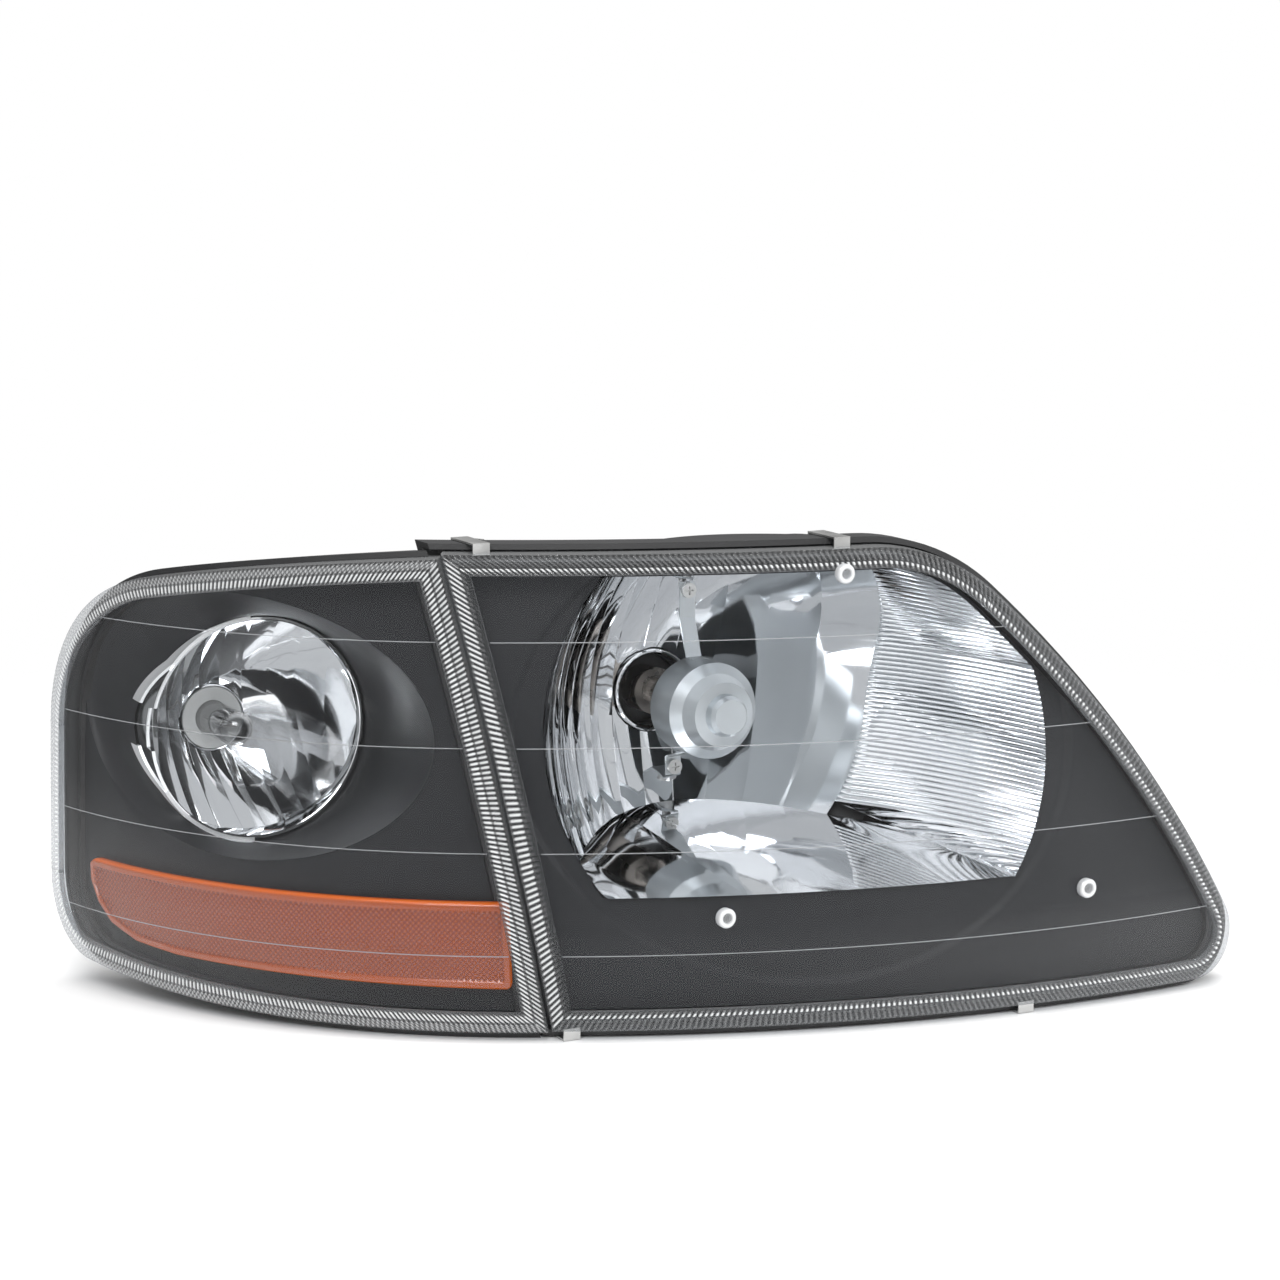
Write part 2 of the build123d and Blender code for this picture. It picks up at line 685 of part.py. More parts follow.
with BuildPart() as bulb_lock_ring:
    with BuildSketch(rear(main_x, tab_front_y - lug_gap - lug_t, main_z)):
        Circle(ring_skirt_r)
        with PolarLocations(ring_skirt_r, 12):
            Circle(1.6)
        Circle(ring_skirt_in_r, mode=Mode.SUBTRACT)
    extrude(amount=bulb_seat_y + bulb_flange_t + 0.3 + ring_plate_t - (tab_front_y - lug_gap - lug_t))
    with BuildSketch(rear(main_x, bulb_seat_y + bulb_flange_t + 0.3, main_z)):
        Circle(ring_skirt_in_r + 1)
        Circle(ring_mouth_r, mode=Mode.SUBTRACT)
    extrude(amount=ring_plate_t)
    for turn in range(3):
        with BuildSketch(rear(main_x, tab_front_y - lug_gap - lug_t, main_z)):
            with BuildLine():
                ring_sector(collar_r + ring_gap, ring_skirt_in_r + 1, 90 + turn * 120, lug_arc)
            make_face()
        extrude(amount=lug_t)
save(bulb_lock_ring, "bulb_lock_ring")

# ---- aim adjusters, one above the pivot and one beside it ----
case_front_y = tub_back_y
case_back_y = tub_back_y + case_depth
nut_front_y = tub_back_y + 7
nut_t = 6.0
pinion_y = nut_front_y + nut_t + gear_gap + pinion_r
stud_front_y = tub_back_y + stud_travel + 1
stud_neck_y = case_back_y + stud_travel + 9
stud_ball_y = stud_neck_y + stud_ball_r
ear = 8.0
ear_t = 3.0
driver_tops = {"upper": 20.0, "lower": 62.0}      # height of the driver's head over the case

for name, (place_x, place_z) in {"upper": upper_adjuster, "lower": lower_adjuster}.items():
    case_top_z = place_z + case_size / 2
    with BuildPart() as adjuster_case:
        with BuildSketch(rear(place_x, case_front_y, place_z)):
            RectangleRounded(case_size, case_size, 2.5)
        extrude(amount=case_depth)
        with BuildSketch(rear(place_x, case_front_y, place_z)):
            RectangleRounded(case_size + 2 * ear, 2 * boss_r, 2)
        extrude(amount=ear_t)
        with BuildSketch(rear(place_x, case_front_y, place_z)):
            Rectangle(case_size - 2 * case_wall, case_size - 2 * case_wall)
        extrude(amount=case_depth - case_wall, mode=Mode.SUBTRACT)
        with BuildSketch(rear(place_x, case_back_y - case_wall, place_z)):
            Circle(stud_r + 3)
        extrude(amount=case_wall + 3)
        with BuildSketch(top(place_x, pinion_y, case_top_z - case_wall)):
            Circle(driver_r + 2.5)
        extrude(amount=case_wall + 5)
        with BuildSketch(rear(place_x, case_back_y - 8, place_z)):
            Circle(stud_r + stud_fit)
        extrude(amount=20, mode=Mode.SUBTRACT)
        with BuildSketch(top(place_x, pinion_y, case_top_z - 6)):
            Circle(driver_r + driver_fit)
        extrude(amount=20, mode=Mode.SUBTRACT)
        for way in (-1, 1):
            with BuildSketch(rear(place_x + way * (case_size / 2 + 4), case_front_y - 1, place_z)):
                Circle(screw_r + pilot_clear)
            extrude(amount=ear_t + 2, mode=Mode.SUBTRACT)
    save(adjuster_case, name + "_adjuster_case")

    with BuildPart() as adjuster_nut:
        with BuildSketch(rear(place_x, nut_front_y, place_z)):
            Circle(gear_r)
            Circle(stud_r + stud_fit, mode=Mode.SUBTRACT)
        extrude(amount=nut_t)
    save(adjuster_nut, name + "_adjuster_nut")

    with BuildPart() as adjuster_stud:
        with BuildSketch(rear(place_x, stud_front_y, place_z)):
            Circle(stud_r)
        extrude(amount=stud_neck_y - stud_front_y)
        with BuildSketch(side(place_x, 0, place_z)):
            with BuildLine():
                Polyline((stud_neck_y, 0), (stud_neck_y, stud_r), (stud_neck_y + 1, 2.6),
                         (stud_ball_y - 3, 2.6), (stud_ball_y - 3, 0), close=True)
            make_face()
        revolve(axis=Axis(origin + Vector(place_x, 0, place_z), (0, 1, 0)))
        with Locations(origin + Vector(place_x, stud_ball_y + 1, place_z)):
            Sphere(stud_ball_r)
    save(adjuster_stud, name + "_adjuster_stud")

    head_z = case_top_z + driver_tops[name]
    with BuildPart() as adjuster_driver:
        with BuildSketch(top(place_x, pinion_y, place_z + stud_r + 1)):
            Circle(pinion_r)
        extrude(amount=case_top_z - case_wall - 0.3 - (place_z + stud_r + 1))
        with BuildSketch(top(place_x, pinion_y, place_z + stud_r + 2)):
            Circle(driver_r)
        extrude(amount=head_z - place_z - stud_r - 2)
        with BuildSketch(top(place_x, pinion_y, head_z)):
            Circle(6)
        extrude(amount=1.4)
        with BuildSketch(top(place_x, pinion_y, head_z)):
            RegularPolygon(4.6, 6)
        extrude(amount=6)
        with BuildSketch(top(place_x, pinion_y, head_z + 3)):
            Rectangle(5, 1.2)
            Rectangle(1.2, 5)
        extrude(amount=5, mode=Mode.SUBTRACT)
    save(adjuster_driver, name + "_adjuster_driver")

with BuildPart() as adjuster_screws:
    for screw_x, screw_z in screw_places:
        with BuildSketch(rear(screw_x, tub_back_y - 6, screw_z)):
            Circle(screw_r)
        extrude(amount=6 + ear_t)
        with BuildSketch(rear(screw_x, tub_back_y + ear_t, screw_z)):
            Circle(screw_head_r)
        extrude(amount=2.4)
        with BuildSketch(rear(screw_x, tub_back_y + ear_t + 1.2, screw_z)):
            Rectangle(cross_slot, cross_width)
            Rectangle(cross_width, cross_slot)
        extrude(amount=2, mode=Mode.SUBTRACT)
save(adjuster_screws, "adjuster_screws")

pivot_ball_y = tub_back_y + 3 + pivot_shank + pivot_ball_r
with BuildPart() as pivot_stud:
    with BuildSketch(rear(pivot_place[0], tub_back_y - 6, pivot_place[1])):
        Circle(stud_r)
    extrude(amount=pivot_ball_y - tub_back_y + 6)
    with BuildSketch(rear(pivot_place[0], tub_back_y, pivot_place[1])):
        RegularPolygon(8, 6)
    extrude(amount=3)
    with Locations(origin + Vector(pivot_place[0], pivot_ball_y, pivot_place[1])):
        Sphere(pivot_ball_r)
save(pivot_stud, "pivot_stud")

with BuildPart() as headlight_vent_cap:
    with BuildSketch(rear(vent_place[0], tub_back_y - 4, vent_place[1])):
        Circle(vent_r + 2)
    extrude(amount=14.5)
    with BuildSketch(rear(vent_place[0], tub_back_y - 5, vent_place[1])):
        Circle(vent_r + 0.05)
    extrude(amount=13, mode=Mode.SUBTRACT)
save(headlight_vent_cap, "headlight_vent_cap")

# ================= corner lamp =================

with BuildPart() as corner_lens:
    add(corner_slice(0, 0, skirt_depth))
    add(corner_slice(-lens_wall, lens_wall, skirt_depth + 10), mode=Mode.SUBTRACT)
save(corner_lens, "corner_lens")

with BuildPart() as corner_lens_seal:
    add(corner_slice(rim_clear - 0.1, seal_front, groove_floor))
    add(corner_slice(tub + 0.25, seal_front - 5, groove_floor + 5), mode=Mode.SUBTRACT)
save(corner_lens_seal, "corner_lens_seal")


def corner_tub(grow, near, inset):
    """Corner lamp tub: the outline behind one layer, its back sloping forward to the joint."""
    with BuildPart() as body:
        with BuildSketch(top(0, 0, -span_z)):
            with BuildLine():
                Polyline((-190, -60), (-190, wrap_y + 20), (back_corner_x, wrap_y + 20),
                         (back_corner_x, wrap_y + tub), (30, inner_back_y), (60, -60), close=True)
            make_face()
            offset(amount=-inset, kind=Kind.INTERSECTION)
        extrude(amount=2 * span_z)
        add(corner_slice(grow, near, 250), mode=Mode.INTERSECT)
    return body.part


back_corner_x = -30.0
socket_collar_high = 3.0        # the collar that takes the bulb socket stands out of the back wall
socket_collar_r = 20.0
socket_hole_r = 16.0
lug_slot_arc = 46.0
turn_lug_arc = 36.0
turn_lug_reach = 3.0
foot_peg_places = [(-100.0, -8.0), (-100.0, -55.0)]
turn_vent_place = (-40.0, -60.0)
tub_rear_y = wrap_y + tub
socket_seat_y = tub_rear_y + socket_collar_high

with BuildPart() as corner_housing:
    add(corner_slice(rim_clear + rim_wall, rim_front, rim_back))
    add(corner_slice(rim_clear, rim_front - 5, groove_floor), mode=Mode.SUBTRACT)
    add(corner_tub(tub, inner_lip_front, 0))
    with BuildSketch(rear(turn_x, tub_rear_y - 6, turn_z)):
        Circle(socket_collar_r)
    extrude(amount=socket_seat_y - tub_rear_y + 6)
    add(corner_tub(tub_inside, inner_lip_front - 8, housing_wall), mode=Mode.SUBTRACT)
    with BuildSketch(rear(turn_x, tub_rear_y - 8, turn_z)):
        Circle(socket_hole_r)
    extrude(amount=30, mode=Mode.SUBTRACT)
    for turn in range(3):
        with BuildSketch(rear(turn_x, tub_rear_y - 8, turn_z)):
            with BuildLine():
                ring_sector(socket_hole_r - 1, socket_hole_r + turn_lug_reach - 0.4, 90 + turn * 120 + 60,
                            lug_slot_arc)
            make_face()
        extrude(amount=30, mode=Mode.SUBTRACT)
    for peg_x, peg_z in foot_peg_places:
        with BuildSketch(rear(peg_x, tub_rear_y - 1, peg_z)):
            Circle(foot_peg_r)
        extrude(amount=foot_peg_length + 1)
    with BuildSketch(rear(turn_vent_place[0], tub_rear_y - 25, turn_vent_place[1])):
        Circle(vent_r)
    extrude(amount=33)
    with BuildSketch(rear(turn_vent_place[0], tub_rear_y - 26, turn_vent_place[1])):
        Circle(vent_r - 1.6)
    extrude(amount=40, mode=Mode.SUBTRACT)
    for peg_y, peg_z in peg_places:
        with BuildSketch(joint_side(peg_y, peg_z).offset(tub - joint_gap / 2 - 1)):
            Circle(peg_r)
        extrude(amount=-2 * tub + joint_gap + 4)
save(corner_housing, "corner_housing")

with BuildPart() as corner_grommets:
    for peg_y, peg_z in peg_places:
        with BuildSketch(joint_side(peg_y, peg_z).offset(-tub + joint_gap / 2 - 1.5)):
            Circle(grommet_r + 1.2)
            Circle(peg_r + 0.05, mode=Mode.SUBTRACT)
        extrude(amount=1.4)
        with BuildSketch(joint_side(peg_y, peg_z).offset(-tub + joint_gap / 2 - 0.1)):
            Circle(grommet_r - 0.05)
            Circle(peg_r + 0.05, mode=Mode.SUBTRACT)
        extrude(amount=housing_wall)
save(corner_grommets, "corner_grommets")

def turn_cup(grow):
    """The corner lamp's cup as a solid: a paraboloid kept inside the round barrel of its mouth."""
    wide_r = parabola_r(turn_focal, turn_vertex_y, turn_mouth_y - 12) + grow
    with BuildPart() as body:
        with BuildSketch(rear(turn_mouth_x, turn_mouth_y, turn_mouth_z)):
            Circle(turn_mouth_r + grow)
        extrude(amount=80)
        add(bowl(turn_x, turn_z, turn_vertex_y + grow, turn_mouth_y - 12, wide_r), mode=Mode.INTERSECT)
    return body.part


with BuildPart() as corner_reflector:
    add(turn_cup(reflector_wall))
    with BuildSketch(rear(turn_mouth_x, turn_mouth_y, turn_mouth_z)):
        Circle(turn_mouth_r + rim_reach)
    extrude(amount=2)
    add(turn_cup(0), mode=Mode.SUBTRACT)
    with BuildSketch(rear(turn_x, turn_vertex_y - 15, turn_z)):
        Circle(turn_hole_r)
    extrude(amount=40, mode=Mode.SUBTRACT)
    # window in the outboard rim for the side marker
    with BuildSketch(front(turn_mouth_x - turn_mouth_r, turn_mouth_y + marker_depth, turn_mouth_z + 3)):
        Rectangle(16, marker_height)
    extrude(amount=marker_depth + 4, mode=Mode.SUBTRACT)
save(corner_reflector, "corner_reflector")

dish_ramp_y = 20.0              # the recess opens out to its full oval by here
tunnel_end_y = turn_mouth_y - 0.6
tunnel_end_r = turn_mouth_r + 2.5
with BuildPart() as dish_tunnel:
    with BuildSketch(front(dish_x, dish_ramp_y, dish_z)):
        Ellipse(dish_half_width, dish_half_height)
    with BuildSketch(front(turn_mouth_x, tunnel_end_y, turn_mouth_z)):
        Circle(tunnel_end_r)
    loft()

with BuildPart() as dish_tunnel_outside:
    with BuildSketch(front(dish_x, dish_ramp_y, dish_z)):
        Ellipse(dish_half_width + bezel_wall, dish_half_height + bezel_wall)
    with BuildSketch(front(turn_mouth_x, tunnel_end_y, turn_mouth_z)):
        Circle(tunnel_end_r + bezel_wall)
    loft()

with BuildPart() as dish_bar:
    with BuildSketch(front(dish_x, wrap_y, dish_z)):
        Ellipse(dish_half_width, dish_half_height)
    extrude(amount=220)

with BuildPart() as corner_bezel:
    add(corner_slice(bezel_grow, bezel_front, bezel_front + bezel_wall))
    add(dish_bar.part, mode=Mode.SUBTRACT)
    add(clipped(dish_tunnel_outside.part, corner_slice(bezel_grow, bezel_front, 150)))
    add(dish_tunnel.part, mode=Mode.SUBTRACT)
save(corner_bezel, "corner_bezel")

with BuildPart() as amber_reflector:
    with BuildSketch(side(-180, 0, 0)):
        with BuildLine():
            Line((-30, amber_top), (159, amber_top))
            ThreePointArc((159, amber_top), (145, -70), (112, -85))
            Polyline((112, -85), (-30, amber_bottom), (-30, amber_top))
        make_face()
    extrude(amount=260)
    add(corner_slice(bezel_grow, amber_front, amber_front + amber_t), mode=Mode.INTERSECT)
save(amber_reflector, "amber_reflector")

# ---- turn lamp bulb and its twist-lock socket ----
wedge_glass_r = 8.0
wedge_tip_y = 132.0
wedge_foot_y = 176.0
socket_front_y = 170.0
socket_flange_r = 22.5
socket_flange_t = 4.0
socket_plug = 20.0
socket_plug_depth = 16.0
gasket_t = 1.6

with BuildPart() as turn_socket:
    with BuildSketch(rear(turn_x, socket_front_y, turn_z)):
        Circle(turn_hole_r - turn_fit - 0.2)
    extrude(amount=socket_seat_y + gasket_t - socket_front_y)
    for turn in range(3):
        with BuildSketch(rear(turn_x, tub_rear_y - housing_wall - 3.6 - 2.4, turn_z)):
            with BuildLine():
                ring_sector(turn_hole_r - 2, socket_hole_r + turn_lug_reach - 0.8, 90 + turn * 120,
                            turn_lug_arc)
            make_face()
        extrude(amount=2.4)
    with BuildSketch(rear(turn_x, socket_seat_y + gasket_t, turn_z)):
        Circle(socket_flange_r)
        with PolarLocations(socket_flange_r, 6):
            Circle(2.2)
    extrude(amount=socket_flange_t)
    with BuildSketch(rear(turn_x, socket_seat_y + gasket_t + socket_flange_t, turn_z)):
        RectangleRounded(socket_plug, socket_plug, 2.5)
    extrude(amount=socket_plug_depth)
    with BuildSketch(front(turn_x, socket_seat_y + gasket_t + socket_flange_t + socket_plug_depth, turn_z)):
        RectangleRounded(socket_plug - 3.6, socket_plug - 3.6, 1.2)
    extrude(amount=socket_plug_depth - 1, mode=Mode.SUBTRACT)
    with BuildSketch(front(turn_x, wedge_foot_y + 0.2, turn_z)):
        Circle(wedge_glass_r + 0.15)
    extrude(amount=12, mode=Mode.SUBTRACT)
save(turn_socket, "turn_socket")

with BuildPart() as turn_socket_gasket:
    with BuildSketch(rear(turn_x, socket_seat_y, turn_z)):
        Circle(socket_flange_r - 1)
        Circle(turn_hole_r - turn_fit - 0.1, mode=Mode.SUBTRACT)
    extrude(amount=gasket_t)
save(turn_socket_gasket, "turn_socket_gasket")

turn_blade_width = 4.8
turn_plug_back_y = socket_seat_y + gasket_t + socket_flange_t + socket_plug_depth
with BuildPart() as turn_socket_terminals:
    for place in (-1, 1):
        with BuildSketch(front(turn_x + place * 4, turn_plug_back_y - 4, turn_z)):
            Rectangle(turn_blade_width, blade_t)
        extrude(amount=socket_plug_depth - 5)
save(turn_socket_terminals, "turn_socket_terminals")

with BuildPart() as turn_bulb_glass:
    add(bulb_glass(turn_x, turn_z, wedge_tip_y, wedge_foot_y, wedge_glass_r, bulb_glass_wall))
save(turn_bulb_glass, "turn_bulb_glass")

with BuildPart() as turn_bulb_filament:
    coil_y = wedge_tip_y + 16
    with BuildSketch(side(turn_x - 3.5, coil_y, turn_z)):
        Circle(0.8)
    extrude(amount=7)
    for post_x in (-3.5, 3.0):
        with BuildSketch(rear(turn_x + post_x + 0.25, coil_y - 0.3, turn_z)):
            Circle(0.3)
        extrude(amount=wedge_foot_y - 5 - coil_y + 0.3)
save(turn_bulb_filament, "turn_bulb_filament")

with BuildPart() as corner_vent_cap:
    with BuildSketch(rear(turn_vent_place[0], tub_rear_y + 1, turn_vent_place[1])):
        Circle(vent_r + 2)
    extrude(amount=9)
    with BuildSketch(rear(turn_vent_place[0], tub_rear_y, turn_vent_place[1])):
        Circle(vent_r + 0.05)
    extrude(amount=8, mode=Mode.SUBTRACT)
save(corner_vent_cap, "corner_vent_cap")
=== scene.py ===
import math
import bpy
import bmesh
import numpy as np
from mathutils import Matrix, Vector


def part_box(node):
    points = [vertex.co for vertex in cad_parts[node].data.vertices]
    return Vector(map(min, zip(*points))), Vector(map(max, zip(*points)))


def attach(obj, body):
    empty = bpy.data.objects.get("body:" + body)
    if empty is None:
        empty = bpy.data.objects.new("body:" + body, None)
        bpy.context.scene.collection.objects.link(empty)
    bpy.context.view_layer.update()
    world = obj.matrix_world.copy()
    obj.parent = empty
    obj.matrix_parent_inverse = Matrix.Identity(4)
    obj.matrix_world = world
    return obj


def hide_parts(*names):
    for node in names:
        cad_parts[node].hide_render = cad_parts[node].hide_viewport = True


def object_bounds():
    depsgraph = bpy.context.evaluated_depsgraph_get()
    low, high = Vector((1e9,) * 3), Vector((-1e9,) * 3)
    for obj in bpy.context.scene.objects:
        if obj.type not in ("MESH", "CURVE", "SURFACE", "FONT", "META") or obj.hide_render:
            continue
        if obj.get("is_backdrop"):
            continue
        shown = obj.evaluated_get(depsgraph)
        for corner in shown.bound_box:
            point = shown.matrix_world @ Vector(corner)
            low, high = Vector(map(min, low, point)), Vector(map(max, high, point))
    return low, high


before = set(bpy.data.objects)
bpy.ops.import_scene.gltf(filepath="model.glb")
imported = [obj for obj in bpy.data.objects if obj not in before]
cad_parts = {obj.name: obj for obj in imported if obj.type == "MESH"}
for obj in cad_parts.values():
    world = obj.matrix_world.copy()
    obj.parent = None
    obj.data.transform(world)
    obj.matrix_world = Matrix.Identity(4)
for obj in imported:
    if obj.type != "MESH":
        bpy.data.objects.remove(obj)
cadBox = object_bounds()

# Headlamp and corner lamp, looks built round the CAD frame.
# Shapes are worked out in millimetres from the joint: the point on the glazing where the lamps meet.
# The joint's place comes from the bulb collar, which stands on the headlamp's axis.
collarLow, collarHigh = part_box("main_bulb_collar")
bulbAxis = {"x": 136.0, "z": 15.0, "collarBack": 130.0}
joint = np.array([(collarLow[0] + collarHigh[0]) / 2 - bulbAxis["x"] / 1000,
                  collarHigh[1] - bulbAxis["collarBack"] / 1000,
                  (collarLow[2] + collarHigh[2]) / 2 - bulbAxis["z"] / 1000])
rng = np.random.default_rng(4)

# ---- glazing: one raked and crowned surface, bent tighter on the corner lamp ----
glazing = {"headBend": 540.0, "cornerBend": 272.0, "sweep": math.radians(29.0),
           "rake": math.tan(math.radians(9.0)), "crown": 900.0}
outline = {"top": 99.5, "bottom": -105.0, "jointX": 4.5, "jointSlope": 0.145, "jointGap": 0.6,
           "grilleX": 357.0, "shoulderX": 201.5, "grilleBow": 12.5, "shoulderR": 78.0, "grilleR": 22.0,
           "wrapY": 187.0, "wrapTop": 69.0, "wrapBottom": -91.0, "wrapTopR": 72.0, "wrapBottomR": 37.0,
           "pastJoint": -40.0, "pastJointY": -30.0, "crestStart": 1.6, "crestMiddle": 0.45, "crestDrop": 9.0,
           "bellyStart": 0.6, "bellyMiddle": 0.5, "bellyRise": 3.5, "samples": 1200, "longSamples": 1600}


def toFrame(x, y, z):
    # millimetres from the joint to metres in the frame
    x, y, z = np.broadcast_arrays(x, y, z)
    return np.stack([x, y, z], -1) / 1000 + joint


def setback(z):
    return glazing["rake"] * z + z * z / (2 * glazing["crown"])


def bendOf(lamp):
    return glazing["headBend"] if lamp == "head" else glazing["cornerBend"]


def onGlazing(lamp, along, z, depth=0.0):
    # A point on the glazing: along is the arc length from the joint, depth is measured inwards along
    # the plan radius, and the rake and crown push it back with height.
    bend, sweep = bendOf(lamp), glazing["sweep"]
    turn = sweep - along / bend
    x = bend * math.sin(sweep) - (bend - depth) * np.sin(turn)
    y = bend * math.cos(sweep) - (bend - depth) * np.cos(turn) + setback(z)
    return x, y, z + 0 * x


def alongFromX(lamp, x):
    bend, sweep = bendOf(lamp), glazing["sweep"]
    return bend * (sweep - np.arcsin(np.clip(math.sin(sweep) - x / bend, -1, 1)))


def alongFromY(y, z):
    bend, sweep = glazing["cornerBend"], glazing["sweep"]
    return bend * (sweep - np.arccos(np.clip(math.cos(sweep) - (y - setback(z)) / bend, -1, 1)))


def headY(x, z, depth=0.0):
    # y of the headlamp glazing's offset copy under a point in the front view
    bend, sweep = glazing["headBend"], glazing["sweep"]
    across = bend * math.sin(sweep) - x
    return bend * math.cos(sweep) - np.sqrt((bend - depth) ** 2 - across ** 2) + setback(z)


def arcThrough(a, b, c, count):
    # circle through three points, sampled evenly from a to c
    a, b, c = (np.array(p, float) for p in (a, b, c))
    m = np.array([b - a, c - a]) * 2
    centre = np.linalg.solve(m, np.array([b @ b - a @ a, c @ c - a @ a]))
    angles = [math.atan2(*(p - centre)[::-1]) for p in (a, b, c)]
    span = (angles[2] - angles[0] + math.pi) % (2 * math.pi) - math.pi
    t = angles[0] + span * np.linspace(0, 1, count)
    return centre + np.linalg.norm(a - centre) * np.stack([np.cos(t), np.sin(t)], -1)


def sideNormals(line):
    d = np.gradient(line, axis=0)
    d /= np.linalg.norm(d, axis=1)[:, None]
    return np.stack([d[:, 1], -d[:, 0]], -1)       # to the right of the way the line runs


def roundedCorner(lineA, lineB, radius):
    # The fillet's centre is where both lines, moved to their right by the radius, cross.
    moveA = lineA + sideNormals(lineA) * radius
    moveB = lineB + sideNormals(lineB) * radius
    gap = np.linalg.norm(moveA[:, None] - moveB[None], axis=2)
    i, j = np.unravel_index(gap.argmin(), gap.shape)
    centre = (moveA[i] + moveB[j]) / 2
    t0 = math.atan2(*(lineA[i] - centre)[::-1])
    t1 = math.atan2(*(lineB[j] - centre)[::-1])
    span = (t1 - t0 + math.pi) % (2 * math.pi) - math.pi
    t = t0 + span * np.linspace(0, 1, 80)
    bend = centre + radius * np.stack([np.cos(t), np.sin(t)], -1)
    return np.concatenate([lineA[:i], bend, lineB[j + 1:]])


def straight(a, b, count):
    return np.array(a) + (np.array(b) - np.array(a)) * np.linspace(0, 1, count)[:, None]


def openOutline(lamp):
    # the edge from above the joint round to below it, clockwise, as (along, z)
    o = outline
    if lamp == "head":
        drop = np.array([o["grilleX"] - o["shoulderX"], o["bottom"] - o["top"]])
        middle = np.array([(o["shoulderX"] + o["grilleX"]) / 2, (o["top"] + o["bottom"]) / 2])
        bulge = middle + np.array([-drop[1], drop[0]]) / np.linalg.norm(drop) * o["grilleBow"]
        crest = straight((o["pastJoint"], o["top"]), (o["shoulderX"], o["top"]), o["samples"])
        grille = arcThrough((o["shoulderX"], o["top"]), bulge, (o["grilleX"], o["bottom"]), o["longSamples"])
        belly = straight((o["grilleX"], o["bottom"]), (o["pastJoint"], o["bottom"]), o["longSamples"])
        line = roundedCorner(roundedCorner(crest, grille, o["shoulderR"]), belly, o["grilleR"])
        return np.stack([alongFromX("head", line[:, 0]), line[:, 1]], -1)
    # the corner lamp's edge is drawn in its side view, as (y, z)
    y0, start = o["wrapY"], o["pastJointY"]
    crest = arcThrough((start, o["top"] + o["crestStart"]),
                       (y0 * o["crestMiddle"], o["top"] - o["crestDrop"]),
                       (y0, o["wrapTop"]), o["samples"])
    belly = arcThrough((start, o["bottom"] - o["bellyStart"]),
                       (y0 * o["bellyMiddle"], o["bottom"] + o["bellyRise"]),
                       (y0, o["wrapBottom"]), o["samples"])
    back = straight((y0, o["wrapTop"]), (y0, o["wrapBottom"]), o["samples"])
    line = roundedCorner(roundedCorner(crest, back, o["wrapTopR"]), belly[::-1], o["wrapBottomR"])
    return np.stack([alongFromY(line[:, 0], line[:, 1]), line[:, 1]], -1)[::-1]


def jointAlong(lamp, z, inset):
    way = 1 if lamp == "head" else -1
    lean = math.hypot(1, outline["jointSlope"])
    x = outline["jointX"] - outline["jointSlope"] * z + way * (outline["jointGap"] + inset * lean)
    return alongFromX(lamp, x)


def rimLoop(lamp, inset, counts=(220, 60)):
    # The outline moved inwards: the open edge trimmed where it meets the joint line, then the joint
    # line itself. Every inset has the same number of points, so loops pair up row by row.
    way = 1 if lamp == "head" else -1
    line = openOutline(lamp)
    line = line + sideNormals(line) * inset
    inside = way * (line[:, 0] - jointAlong(lamp, line[:, 1], inset))
    keep = np.nonzero(inside > 0)[0]
    i, j = keep[0], keep[-1]

    def crossing(p, q):
        f = inside[p] / (inside[p] - inside[q])
        return line[p] + (line[q] - line[p]) * f

    edge = np.concatenate([[crossing(i, i - 1)], line[i:j + 1], [crossing(j, j + 1)]])
    length = np.concatenate([[0], np.cumsum(np.linalg.norm(np.diff(edge, axis=0), axis=1))])
    s = np.linspace(0, length[-1], counts[0])
    edge = np.stack([np.interp(s, length, edge[:, 0]), np.interp(s, length, edge[:, 1])], -1)
    z = np.linspace(edge[-1, 1], edge[0, 1], counts[1] + 2)[1:-1]
    return np.concatenate([edge, np.stack([jointAlong(lamp, z, inset), z], -1)])


def gridFaces(rows, columns, wrapRows=False, wrapColumns=False):
    # quads between neighbouring rows and columns of a grid, numbered row by row
    i = np.arange(rows if wrapRows else rows - 1)
    j = np.arange(columns if wrapColumns else columns - 1)
    i, j = np.meshgrid(i, j, indexing="ij")
    i2, j2 = (i + 1) % rows, (j + 1) % columns
    quads = [i * columns + j, i * columns + j2, i2 * columns + j2, i2 * columns + j]
    return np.stack(quads, -1).reshape(-1, 4)


